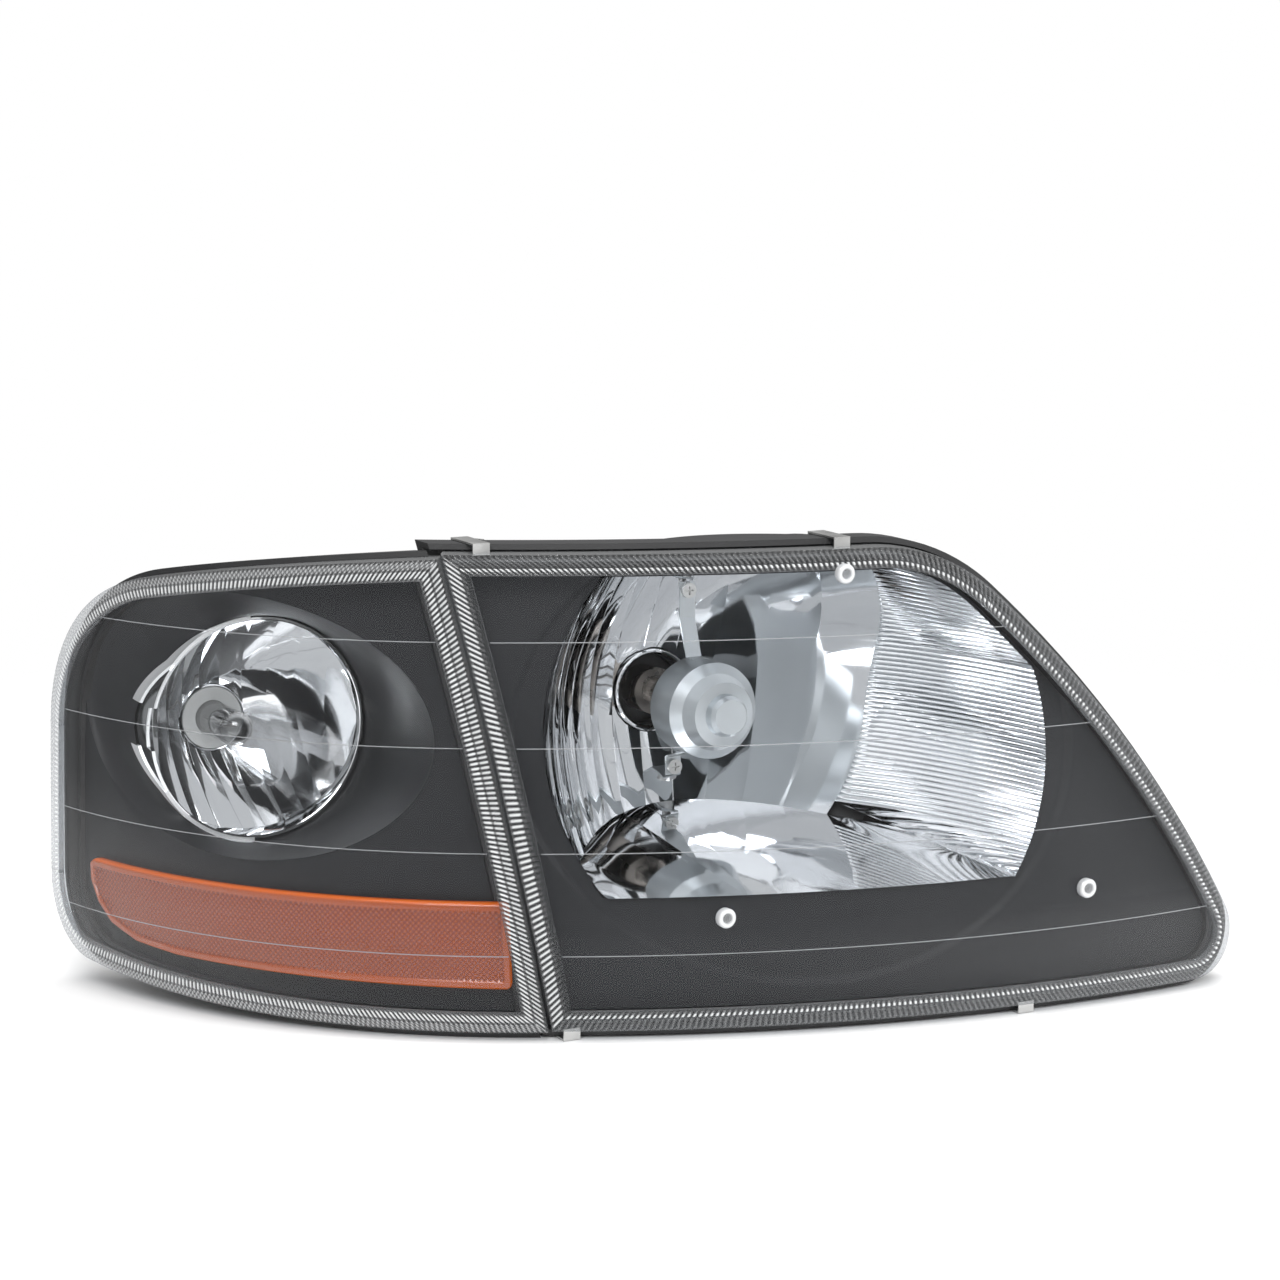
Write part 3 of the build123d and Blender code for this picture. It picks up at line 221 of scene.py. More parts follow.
def makePiece(name, grids, material, replaces=(), facing=None, closed=True, sharp=None):
    # Grids are (points, wrapRows, wrapColumns) with an optional array of one value a point for tone and
    # painted highlight.
    # They go into one mesh, are welded, and face outwards, or towards a given point if left open.
    points, faces, tones_and_painted_highlights, start = [], [], [], 0
    for grid in grids:
        p = grid[0]
        f = gridFaces(p.shape[0], p.shape[1], grid[1], grid[2])
        flat = p.reshape(-1, 3)
        if facing is not None:
            c = flat[f].mean(1)
            n = np.cross(flat[f[:, 1]] - flat[f[:, 0]], flat[f[:, 3]] - flat[f[:, 0]])
            if (n * (np.asarray(facing) - c)).sum() < 0:
                f = f[:, ::-1]
        points.append(flat)
        faces.append(f + start)
        tones_and_painted_highlights.append(grid[3].reshape(-1) if len(grid) > 3 else np.zeros(len(flat)))
        start += len(flat)
    points, faces, tones_and_painted_highlights = np.concatenate(points), np.concatenate(faces), np.concatenate(tones_and_painted_highlights)
    mesh = bpy.data.meshes.new(name)
    mesh.from_pydata(points.tolist(), [], faces.tolist())
    mesh.attributes.new("tone_and_painted_highlight", "FLOAT", "POINT").data.foreach_set("value", tones_and_painted_highlights.astype(np.float32))
    bm = bmesh.new()
    bm.from_mesh(mesh)
    bmesh.ops.remove_doubles(bm, verts=bm.verts, dist=2e-6)
    bmesh.ops.dissolve_degenerate(bm, edges=bm.edges, dist=1e-6)
    if closed:
        bmesh.ops.recalc_face_normals(bm, faces=bm.faces)
    bm.to_mesh(mesh)
    bm.free()
    mesh.shade_smooth()
    if sharp:
        mesh.set_sharp_from_angle(angle=math.radians(sharp))
    piece = bpy.data.objects.new(name, mesh)
    bpy.context.scene.collection.objects.link(piece)
    mesh.materials.append(material)
    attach(piece, "lamp")
    if replaces:
        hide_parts(*replaces)
    return piece


# ---- materials ----
def newMaterial(name):
    material = bpy.data.materials.new(name)
    material.use_nodes = True
    tree = material.node_tree
    return material, tree, tree.nodes["Principled BSDF"]


def addNode(tree, kind, **values):
    node = tree.nodes.new(kind)
    for key, value in values.items():
        setattr(node, key, value)
    return node


def objectNoise(tree, scale, detail=3.0, stretch=(1, 1, 1)):
    place = addNode(tree, "ShaderNodeTexCoord")
    mapping = addNode(tree, "ShaderNodeMapping")
    mapping.inputs["Scale"].default_value = stretch
    noise = addNode(tree, "ShaderNodeTexNoise")
    noise.inputs["Scale"].default_value = scale
    noise.inputs["Detail"].default_value = detail
    tree.links.new(place.outputs["Object"], mapping.inputs["Vector"])
    tree.links.new(mapping.outputs["Vector"], noise.inputs["Vector"])
    return noise.outputs["Fac"]


def remap(tree, source, low, high):
    ranged = addNode(tree, "ShaderNodeMapRange")
    ranged.inputs["From Min"].default_value = 0.3
    ranged.inputs["From Max"].default_value = 0.7
    ranged.inputs["To Min"].default_value = low
    ranged.inputs["To Max"].default_value = high
    tree.links.new(source, ranged.inputs["Value"])
    return ranged.outputs["Result"]


def moulded(name, colour, darker, rough, metallic=0.0, grain=900.0, bump=0.15, cloud=35.0,
            stretch=(1, 1, 1), specular=0.5):
    # A surface with broad cloudy wear in colour and roughness, and a fine moulded or drawn grain.
    material, tree, shader = newMaterial(name)
    broad = objectNoise(tree, cloud, 4.0)
    fine = objectNoise(tree, grain, 2.0, stretch)
    blend = addNode(tree, "ShaderNodeMix", data_type="RGBA")
    blend.inputs["A"].default_value = (*darker, 1)
    blend.inputs["B"].default_value = (*colour, 1)
    tree.links.new(remap(tree, broad, 0.0, 1.0), blend.inputs["Factor"])
    tree.links.new(blend.outputs["Result"], shader.inputs["Base Color"])
    tree.links.new(remap(tree, broad, rough[0], rough[1]), shader.inputs["Roughness"])
    shader.inputs["Metallic"].default_value = metallic
    shader.inputs["Specular IOR Level"].default_value = specular
    relief = addNode(tree, "ShaderNodeBump")
    relief.inputs["Strength"].default_value = bump
    relief.inputs["Distance"].default_value = 0.0002
    tree.links.new(fine, relief.inputs["Height"])
    tree.links.new(relief.outputs["Normal"], shader.inputs["Normal"])
    return material


def clearPlastic(name, tint, body, base, edge, rough, paintedHighlightBoost=0.0, metallic=0.0):
    # Clear moulding: mostly see-through, more mirror towards its edges, whiter and more opaque where its
    # painted highlight value is high.
    material, tree, shader = newMaterial(name)
    shader.inputs["Base Color"].default_value = (*body, 1)
    shader.inputs["Metallic"].default_value = metallic
    shader.inputs["Specular IOR Level"].default_value = 0.8
    tree.links.new(remap(tree, objectNoise(tree, 60.0), rough[0], rough[1]), shader.inputs["Roughness"])
    through = addNode(tree, "ShaderNodeBsdfTransparent")
    through.inputs["Color"].default_value = (*tint, 1)
    layer = addNode(tree, "ShaderNodeLayerWeight")
    layer.inputs["Blend"].default_value = 0.35
    ranged = addNode(tree, "ShaderNodeMapRange")
    ranged.inputs["To Min"].default_value = base
    ranged.inputs["To Max"].default_value = edge
    tree.links.new(layer.outputs["Facing"], ranged.inputs["Value"])
    share = ranged.outputs["Result"]
    # painted highlight: the per-point value pushes the mix towards the opaque pale body, so those places look
    # whiter
    if paintedHighlightBoost:
        tone_and_painted_highlight = addNode(tree, "ShaderNodeAttribute", attribute_name="tone_and_painted_highlight")
        more = addNode(tree, "ShaderNodeMath", operation="MULTIPLY_ADD", use_clamp=True)
        tree.links.new(tone_and_painted_highlight.outputs["Fac"], more.inputs[0])
        more.inputs[1].default_value = paintedHighlightBoost
        tree.links.new(share, more.inputs[2])
        share = more.outputs["Value"]
    mix = addNode(tree, "ShaderNodeMixShader")
    tree.links.new(share, mix.inputs["Fac"])
    tree.links.new(through.outputs["BSDF"], mix.inputs[1])
    tree.links.new(shader.outputs["BSDF"], mix.inputs[2])
    tree.links.new(mix.outputs["Shader"], tree.nodes["Material Output"].inputs["Surface"])
    return material


windowClear = clearPlastic("windowClear", tint=(0.97, 0.975, 0.98), body=(0.9, 0.9, 0.9), base=0.006,
                           edge=0.1, rough=(0.03, 0.06), metallic=1.0)
rimClear = clearPlastic("rimClear", tint=(0.70, 0.71, 0.72), body=(0.86, 0.87, 0.88), base=0.02, edge=0.3,
                        rough=(0.07, 0.14), paintedHighlightBoost=0.8)
bulbClear = clearPlastic("bulbClear", tint=(0.97, 0.975, 0.98), body=(0.9, 0.9, 0.9), base=0.05, edge=0.6,
                         rough=(0.02, 0.04), metallic=1.0)
chrome = moulded("chrome", colour=(0.86, 0.87, 0.88), darker=(0.80, 0.81, 0.825), rough=(0.03, 0.06),
                 metallic=1.0, grain=500, bump=0.015, cloud=22)
shieldSatin = moulded("shieldSatin", colour=(0.60, 0.63, 0.65), darker=(0.50, 0.53, 0.55),
                      rough=(0.3, 0.42), metallic=0.85, grain=1600, bump=0.08, cloud=40)
flangeSatin = moulded("flangeSatin", colour=(0.88, 0.885, 0.89), darker=(0.84, 0.845, 0.85),
                      rough=(0.3, 0.42), metallic=0.6, grain=1400, bump=0.04, cloud=40)
steelZinc = moulded("steelZinc", colour=(0.66, 0.66, 0.65), darker=(0.5, 0.5, 0.49), rough=(0.22, 0.4),
                    metallic=1.0, grain=700, bump=0.1, cloud=60, stretch=(1, 6, 1))
bezelSatin = moulded("bezelSatin", colour=(0.020, 0.0205, 0.0225), darker=(0.016, 0.0165, 0.0185),
                     rough=(0.42, 0.5), grain=2600, bump=0.008, cloud=14, specular=0.26)
housingBlack = moulded("housingBlack", colour=(0.022, 0.022, 0.023), darker=(0.014, 0.014, 0.015),
                       rough=(0.42, 0.6), grain=1500, bump=0.3, cloud=30)
sealButyl = moulded("sealButyl", colour=(0.035, 0.035, 0.036), darker=(0.02, 0.02, 0.02),
                    rough=(0.5, 0.75), grain=600, bump=0.5, cloud=80)
baseBlack = moulded("baseBlack", colour=(0.018, 0.018, 0.019), darker=(0.01, 0.01, 0.011),
                    rough=(0.3, 0.45), grain=1200, bump=0.15, cloud=60)
rubberBlack = moulded("rubberBlack", colour=(0.03, 0.03, 0.03), darker=(0.018, 0.018, 0.018),
                      rough=(0.6, 0.8), grain=900, bump=0.3, cloud=90)
tungsten = moulded("tungsten", colour=(0.3, 0.29, 0.28), darker=(0.2, 0.19, 0.18), rough=(0.3, 0.5),
                   metallic=1.0, grain=3000, bump=0.2, cloud=300)
terminalTin = moulded("terminalTin", colour=(0.80, 0.66, 0.36), darker=(0.62, 0.5, 0.28),
                      rough=(0.2, 0.35), metallic=1.0, grain=900, bump=0.1, cloud=90)
nylonNatural = moulded("nylonNatural", colour=(0.72, 0.71, 0.66), darker=(0.6, 0.59, 0.54),
                       rough=(0.38, 0.52), grain=800, bump=0.15, cloud=50)
socketGrey = moulded("socketGrey", colour=(0.84, 0.85, 0.84), darker=(0.78, 0.79, 0.78),
                     rough=(0.35, 0.5), grain=900, bump=0.12, cloud=60)
collarSteel = moulded("collarSteel", colour=(0.55, 0.5, 0.45), darker=(0.3, 0.27, 0.25),
                      rough=(0.2, 0.35), metallic=1.0, grain=900, bump=0.1, cloud=90)

cadLooks = {
    "headlight_lens_seal": sealButyl, "corner_lens_seal": sealButyl, "headlight_housing": housingBlack,
    "corner_housing": housingBlack, "bulb_shield": shieldSatin, "shield_screws": steelZinc,
    "lens_clips": steelZinc, "main_bulb_base": baseBlack, "main_bulb_o_ring": rubberBlack,
    "main_bulb_collar": collarSteel, "main_bulb_glass": bulbClear, "main_bulb_filaments": tungsten,
    "main_bulb_terminals": terminalTin, "bulb_lock_ring": nylonNatural, "adjuster_screws": steelZinc,
    "pivot_stud": steelZinc, "headlight_vent_cap": rubberBlack, "corner_vent_cap": rubberBlack,
    "corner_grommets": rubberBlack, "turn_socket": socketGrey, "turn_socket_gasket": rubberBlack,
    "turn_socket_terminals": terminalTin, "turn_bulb_glass": bulbClear, "turn_bulb_filament": tungsten}
for side in ("upper", "lower"):
    cadLooks[side + "_adjuster_case"] = housingBlack
    cadLooks[side + "_adjuster_nut"] = nylonNatural
    for part in ("stud", "driver"):
        cadLooks[side + "_adjuster_" + part] = steelZinc
for node, material in cadLooks.items():
    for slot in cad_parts[node].material_slots:
        slot.material = material
print("materials on", len(cadLooks), "frame nodes")

# ---- lenses: a fluted rim round a clear window ----
lensShape = {"wall": 2.8, "skirt": 16.0, "window": 9.0, "fluteDeep": 0.5, "fluteTop": 0.1,
             "roundedEdge": ((0.0, 3.0), (0.25, 0.9)), "rowEnd": 0.35,
             "rowSteps": (0.0, 0.12, 0.5, 0.88, 1.0),
             "innerBevel": (0.6, 0.4), "windowCounts": (300, 90), "windowRings": 26}
stepShape = {"high": 0.2, "wide": 0.42, "heights": (62.0, 17.0, -28.0, -72.5), "clear": 0.1, "tone_and_painted_highlight": 0.28,
             "sides": 6, "samples": 160, "near": 2.0, "counts": (900, 300)}
# the last two entries of each lamp set how much whiter the flute crests are painted in each row, on the
# outline and on the joint: painted highlights
rimShape = {
    "head": {"pitch": 2.6, "rows": ((0.9, 5.6, 1.15), (5.9, 7.2, 0.0)), "counts": (2400, 560),
             "crestPaintedHighlight": (0.16, 1.0), "jointCrestPaintedHighlight": (0.9, 0.08)},
    "corner": {"pitch": 2.25, "rows": ((0.9, 4.3, 0.7), (4.9, 7.9, 0.0)), "counts": (1900, 600),
               "crestPaintedHighlight": (0.62, 1.0), "jointCrestPaintedHighlight": (0.8, 1.0)}}


def rimPiece(lamp):
    # The lens's edge as a closed section carried round the outline. Flutes are a cosine along the
    # outline, slanted in the outer row and square in the inner one, sunk below the glazing.
    shape, counts = rimShape[lamp], rimShape[lamp]["counts"]
    outer = rimLoop(lamp, 0.0, counts)
    step = np.linalg.norm(np.roll(outer, -1, 0) - outer, axis=1)
    run = np.concatenate([[0], np.cumsum(step)[:-1]])
    flutes = round(run[-1] / shape["pitch"])
    phase = run / (run[-1] + step[-1]) * flutes * 2 * math.pi
    section = [(0.0, lensShape["skirt"], None)]
    section += [(inset, depth, None) for inset, depth in lensShape["roundedEdge"]]
    for row, (low, high, slant) in enumerate(shape["rows"]):
        for f in lensShape["rowSteps"]:
            section.append((low + (high - low) * f, 0.0, (slant, low, f, row)))
    bevel = lensShape["innerBevel"]
    section += [(lensShape["window"], 0.0, None), (lensShape["window"], lensShape["wall"], None),
                (lensShape["wall"] + bevel[0], lensShape["wall"] + bevel[1], None),
                (lensShape["wall"], lensShape["skirt"], None)]
    rows, tones_and_painted_highlights = [], []
    for inset, depth, flute in section:
        loop = rimLoop(lamp, inset, counts)
        wave = np.zeros(len(loop))
        sink = np.full(len(loop), depth)
        if flute:
            slant, low, f, row = flute
            onJoint = np.arange(len(loop)) >= counts[0]
            lean = np.where(onJoint, 0.0, slant) * (inset - low) / shape["pitch"] * 2 * math.pi
            wave = 0.5 + 0.5 * np.cos(phase + lean)
            edge = lensShape["rowEnd"] if f in (0.0, 1.0) else 1.0
            sink = lensShape["fluteTop"] + lensShape["fluteDeep"] * (1 - wave * edge)
            # painted highlight: the flute crests are painted whiter, by an amount set per row and set apart
            # on the joint
            wave = wave ** 2 * edge * np.where(onJoint, shape["jointCrestPaintedHighlight"][row], shape["crestPaintedHighlight"][row])
        rows.append(toFrame(*onGlazing(lamp, loop[:, 0], loop[:, 1], sink)))
        tones_and_painted_highlights.append(wave)
    return makePiece({"head": "headlight_lens_rim", "corner": "corner_lens_rim"}[lamp],
                     [(np.array(rows), True, True, np.array(tones_and_painted_highlights))], rimClear, sharp=40)


def windowPiece(lamp):
    # The clear window: rings shrinking from the rim to a middle point, on the outer and inner faces.
    loop = rimLoop(lamp, lensShape["window"], lensShape["windowCounts"])
    middle = loop.mean(0)
    rings = [(middle + (loop - middle) * share).T for share in np.linspace(1, 0, lensShape["windowRings"])]
    rows = [toFrame(*onGlazing(lamp, *ring, 0.0)) for ring in rings]
    rows += [toFrame(*onGlazing(lamp, *ring, lensShape["wall"])) for ring in rings[::-1]]
    name = {"head": "headlight_lens", "corner": "corner_lens"}[lamp]
    return makePiece(name + "_window", [(np.array(rows), True, True)], windowClear,
                     replaces=(name,), sharp=40)


def stepRibs(lamp):
    # Fine level ribs inside the window: a low half-round section carried along the glazing.
    g = stepShape
    loop = rimLoop(lamp, lensShape["window"], g["counts"])
    grids = []
    for z in g["heights"]:
        near = loop[np.abs(loop[:, 1] - z) < g["near"], 0]
        along = np.linspace(near.min() + 1, near.max() - 1, g["samples"])
        turn = np.linspace(0, 2 * math.pi, g["sides"], endpoint=False)
        rows = [toFrame(*onGlazing(lamp, along, z + g["wide"] / 2 * math.cos(t) + 0 * along,
                                   lensShape["wall"] + g["clear"] + g["high"] * math.sin(t))) for t in turn]
        ends = [np.repeat(np.mean([r[k] for r in rows], 0)[None], len(rows), 0) for k in (0, -1)]
        tube = np.stack(rows, 0)
        tube = np.concatenate([ends[0][:, None], tube, ends[1][:, None]], 1)
        # painted highlight: the whole rib gets one value that makes it whiter
        grids.append((tube, True, False, np.full(tube.shape[:2], g["tone_and_painted_highlight"])))
    return makePiece({"head": "headlight_lens_steps", "corner": "corner_lens_steps"}[lamp], grids, rimClear)


for lamp in ("head", "corner"):
    rimPiece(lamp)
    windowPiece(lamp)
    stepRibs(lamp)

# the profile is (share of the radius, height in front of the glazing)
aimPads = {"places": ((154.0, 89.0), (91.0, -56.0), (259.0, -55.0)), "r": 4.4,
           "profile": ((0.0, 2.3), (0.45, 2.3), (0.62, 3.0), (0.82, 3.0), (1.0, 2.2), (1.0, -0.3),
                       (0.0, -0.3)),
           "tone_and_painted_highlight": (0.1, 0.2, 0.9, 0.9, 0.5, 0.3, 0.1), "sides": 28}


def aimPadPiece():
    # Clear aiming pads: a turned button with a dished top, standing on the window.
    turn = np.linspace(0, 2 * math.pi, aimPads["sides"], endpoint=False)
    grids = []
    for x, z in aimPads["places"]:
        y = headY(x, z)
        rows = [toFrame(x + r * aimPads["r"] * np.cos(turn), y - high, z + r * aimPads["r"] * np.sin(turn))
                for r, high in aimPads["profile"]]
        # painted highlight: the raised ring of each button is painted whiter than its dish and sides
        tone_and_painted_highlight = np.repeat(np.array(aimPads["tone_and_painted_highlight"])[:, None], len(turn), 1)
        grids.append((np.array(rows), False, True, tone_and_painted_highlight))
    return makePiece("headlight_aim_pads", grids, rimClear, sharp=35)


aimPadPiece()
print("lenses done")

# ---- headlamp reflector ----
bowlShape = {"x": 136.0, "z": 15.0, "focal": 27.0, "vertex": 113.0, "mouthX": 140.5, "mouthZ": 13.0,
             "mouthR": 111.0, "top": 88.0, "bottom": -50.0, "hole": 19.0, "lip": 17.2, "facets": 12,
             "facetDeep": 0.6, "flutePitch": 2.3, "fluteDeep": 0.42, "floorRise": 0.135, "floorFrom": -38.0,
             "bezel": 14.0, "margin": 8.8, "facetBias": 1.15, "tilt": 0.004, "bow": 0.00006, "quietFacets": 5,
             "quiet": 0.35, "wallShare": 0.62, "wallSlope": 1.5, "outlineCounts": (900, 200),
             "rightOf": 150.0, "settle": 30, "rows": 40, "shelfRows": 16, "fluteSteps": 6, "fluteEase": 30,
             "footRows": 24, "lipSides": 96}
# where the points stand across one facet, as shares of its width
facetSteps = np.array([0.0, 0.015, 0.25, 0.5, 0.75, 0.985])


def bowlY(x, z):
    b = bowlShape
    return b["vertex"] - ((x - b["x"]) ** 2 + (z - b["z"]) ** 2) / (4 * b["focal"])


wallShape = {"x": 219.0, "z": 42.0, "upper": 0.0085, "drop": 17.0, "dropHigh": 76.0, "power": 3.2,
             "foot": -34.0, "footInset": 1.5}


def wallX(z):
    # where the fluted side wall starts: furthest out above mid-height, a parabola above it and a power of
    # the drop below it
    w = wallShape
    above, below = np.maximum(z - w["z"], 0), np.maximum(w["z"] - z, 0)
    return w["x"] - w["upper"] * above ** 2 - w["drop"] * (below / w["dropHigh"]) ** w["power"]


grilleLoop = rimLoop("head", bowlShape["margin"], bowlShape["outlineCounts"])
grilleX, grilleZ = onGlazing("head", grilleLoop[:, 0], grilleLoop[:, 1])[0], grilleLoop[:, 1]


def mouthRight(z):
    # the mouth's right edge: its circle, kept inside the outline
    b = bowlShape
    circle = b["mouthX"] + np.sqrt(np.maximum(b["mouthR"] ** 2 - (z - b["mouthZ"]) ** 2, 0))
    right = grilleX > b["rightOf"]
    order = np.argsort(grilleZ[right])
    return np.minimum(circle, np.interp(z, grilleZ[right][order], grilleX[right][order]))


def wallStart(z):
    # the side wall leaves the bowl down to the floor's back edge, then leaves the floor along a slanting
    # line that ends at the mouth's lower corner
    b, foot = bowlShape, wallShape["foot"]
    x = wallX(np.maximum(z, foot))
    y = bowlY(x, np.maximum(z, foot))
    cornerX = mouthRight(np.array(b["bottom"])) - wallShape["footInset"]
    cornerY = headY(cornerX, b["bottom"], b["bezel"])
    slide = np.clip((foot - z) / (foot - b["bottom"]), 0, 1)
    return x + (cornerX - x) * slide, y + (cornerY - y) * slide


def mouthHeight(x, way):
    b = bowlShape
    circle = b["mouthZ"] + way * np.sqrt(np.maximum(b["mouthR"] ** 2 - (x - b["mouthX"]) ** 2, 0))
    return np.minimum(circle, b["top"]) if way > 0 else np.maximum(circle, b["bottom"])


def mainReflector():
    # The bowl is a paraboloid in slightly hollow upright facets. Columns run along the facets from the
    # floor to the ceiling, parted by the bulb hole. The side wall carries level flutes out to the mouth.
    b = bowlShape
    left = b["mouthX"] - b["mouthR"] + 0.02
    edges = np.linspace(0, 1, b["facets"] + 1)
    u = np.concatenate([e + (edges[1] - edges[0]) * facetSteps for e in edges[:-1]] + [[1.0]])
    facet = np.minimum((u * b["facets"] + 1e-6).astype(int), b["facets"] - 1)
    within = np.clip(u * b["facets"] - facet, 0, 1)
    k = u ** b["facetBias"]
    tilt = rng.uniform(-1, 1, b["facets"])[facet]
    bow = rng.uniform(-1, 1, b["facets"])[facet]
    quiet = np.where(facet > b["facets"] - b["quietFacets"], b["quiet"], 1.0)

    def columnX(z):
        return left + (wallX(z) - left) * k

    def relief(x, z):
        hollow = b["facetDeep"] * quiet * 4 * within * (1 - within)
        return hollow + quiet * (b["tilt"] * tilt * (z - b["z"]) + b["bow"] * bow * (z - b["z"]) ** 2)

    ends = {}
    for way in (1, -1):
        z = np.full(len(k), b["mouthZ"] + way * 20.0)
        for _ in range(b["settle"]):
            x = columnX(z)
            z = mouthHeight(x, way)
            if way < 0:
                floor = b["bottom"] + b["floorRise"] * (bowlY(x, z) - b["floorFrom"])
                z = np.maximum(z, floor)
        ends[way] = z
    near = {}
    for way in (1, -1):
        z = np.full(len(k), b["z"])
        for _ in range(12):
            dx = columnX(z) - b["x"]
            z = b["z"] + way * np.sqrt(np.maximum(b["hole"] ** 2 - dx ** 2, 0))
        near[way] = z
    grids = []
    for way in (1, -1):
        v = np.linspace(0, 1, b["rows"])[:, None]
        z = near[way] + (ends[way] - near[way]) * v
        x = columnX(z)
        grids.append((toFrame(x, bowlY(x, z) + relief(x, z), z), False, False))
        x0, z0 = columnX(ends[way]), ends[way]
        y0 = bowlY(x0, z0) + relief(x0, z0)
        floorBack = x0, y0, z0                       # the floor comes last, so its values stay
        z1 = mouthHeight(x0, way)
        y1 = headY(x0, z1, b["bezel"])
        w = np.linspace(0, 1, b["shelfRows"])[:, None]
        # ceiling and floor shelves, and the barrel at the left, from the bowl out to the bezel
        grids.append((toFrame(x0 + 0 * w, y0 + (y1 - y0) * w, z0 + (z1 - z0) * w), False, False))
    # side wall: a curve from the bowl to the mouth's edge at each height, with level flutes
    flutes = round((b["top"] - b["bottom"]) / b["flutePitch"])
    steps = flutes * b["fluteSteps"] + 1
    z = np.linspace(b["bottom"], b["top"], steps)[:, None]
    t = np.linspace(0, 1, b["rows"])[None]
    xc = mouthRight(z)
    yc = headY(xc, z, b["bezel"])
    xa, ya = wallStart(z)
    xb = xa + (xc - xa) * b["wallShare"]
    yb = ya - b["wallSlope"] * (xb - xa)
    x = (1 - t) ** 2 * xa + 2 * t * (1 - t) * xb + t ** 2 * xc
    y = (1 - t) ** 2 * ya + 2 * t * (1 - t) * yb + t ** 2 * yc
    wave = np.abs(np.sin(np.linspace(0, flutes * math.pi, steps)))[:, None]
    x = x - b["fluteDeep"] * wave * np.minimum(1, t * b["fluteEase"])
    grids.append((toFrame(x, y, z + 0 * t), False, False))
    # shelf above the side wall
    w = np.linspace(0, 1, 6)[:, None]
    y1 = headY(x[-1], b["top"], b["bezel"])
    grids.append((toFrame(x[-1] + 0 * w, y[-1] + (y1 - y[-1]) * w, b["top"] + 0 * w), False, False))
    # the floor's outer end, a three-cornered patch from its last column to the side wall's slanting foot
    w = np.linspace(0, 1, b["footRows"])[:, None]
    x0, y0, z0 = (v[-1] for v in floorBack)
    z1 = mouthHeight(np.array([x0]), -1)[0]
    y1 = headY(x0, z1, b["bezel"])
    footZ = z0 + (z1 - z0) * w
    footX, footY = wallStart(footZ)
    across = np.linspace(0, 1, b["shelfRows"])[None]
    startY = y0 + (y1 - y0) * w
    grids.append((toFrame(x0 + (footX - x0) * across, startY + (footY - startY) * across, footZ + 0 * across),
                  False, False))
    # rolled lip round the bulb hole
    turn = np.linspace(0, 2 * math.pi, b["lipSides"], endpoint=False)
    lip = []
    for r, back in ((b["hole"] + 0.6, -0.9), (b["hole"], -1.3), (b["hole"] - 0.8, -1.0), (b["lip"], 0.6),
                    (b["lip"], 3.5)):
        x, zz = b["x"] + r * np.cos(turn), b["z"] + r * np.sin(turn)
        lip.append(toFrame(x, b["vertex"] - b["hole"] ** 2 / (4 * b["focal"]) + back, zz))
    grids.append((np.array(lip), False, True))
    centre = toFrame(b["x"], 20.0, b["z"])
    makePiece("main_reflector_faceted", grids, chrome, replaces=("main_reflector",),
              facing=centre, closed=False, sharp=12)


mainReflector()
print("main reflector done")


# ---- headlamp bezel ----
headBezel = {"front": 14.0, "wall": 2.4, "grow": 6.6, "ringX": 140.5, "ringZ": 13.0, "ringWide": 124.0,
             "ringHigh": 103.0, "sunk": 2.2, "ringEdge": 1.01, "ringEase": 0.025}


def polarRadius(points, centre, angles):
    # distance from the centre to a closed star-shaped outline in each direction
    d = points - centre
    t, r = np.arctan2(d[:, 1], d[:, 0]), np.hypot(d[:, 0], d[:, 1])
    order = np.argsort(t)
    return np.interp(angles, t[order], r[order], period=2 * math.pi)


def cornerAngles(points, centre, count):
    # directions of the outline's two corners at the joint
    corners = points[[0, count - 1]] - centre
    return np.arctan2(corners[:, 1], corners[:, 0])


def headlightBezel():
    # A band from the mouth's edge to the outline, on the glazing's offset copy. An oval step round the
    # mouth sinks the inner part a little.
    b, h = bowlShape, headBezel
    centre = np.array([b["mouthX"], b["mouthZ"]])
    loop = rimLoop("head", h["grow"], (1200, 300))
    flat = np.stack([onGlazing("head", loop[:, 0], loop[:, 1])[0], loop[:, 1]], -1)
    xs = np.linspace(b["mouthX"] - b["mouthR"], b["mouthX"] + b["mouthR"], 1500)
    topEdge = np.stack([xs, mouthHeight(xs, 1)], -1)
    low = np.stack([xs, mouthHeight(xs, -1)], -1)
    right = mouthRight(topEdge[:, 1])
    topEdge[:, 0] = np.where(topEdge[:, 0] > 200, np.minimum(topEdge[:, 0], right), topEdge[:, 0])
    mouth = np.concatenate([topEdge, low[::-1]])
    angles = np.sort(np.concatenate([np.linspace(-math.pi, math.pi, 720, endpoint=False),
                                     cornerAngles(flat, centre, 1200)]))
    rIn, rOut = polarRadius(mouth, centre, angles), polarRadius(flat, centre, angles)
    rows = []
    for f in np.linspace(0, 1, 60):
        r = rIn + (rOut - rIn) * f
        x, z = centre[0] + r * np.cos(angles), centre[1] + r * np.sin(angles)
        oval = np.hypot((x - h["ringX"]) / h["ringWide"], (z - h["ringZ"]) / h["ringHigh"])
        sink = h["sunk"] * np.clip((h["ringEdge"] - oval) / h["ringEase"], 0, 1)
        rows.append((x, headY(x, z, h["front"] + sink), z))
    front = [toFrame(*row) for row in rows]
    back = [toFrame(x, y + h["wall"], z) for x, y, z in rows[::-1]]
    return makePiece("headlight_bezel_face", [(np.array(front + back), True, True)], bezelSatin,
                     replaces=("headlight_bezel",), sharp=50)


headlightBezel()
print("headlight bezel done")

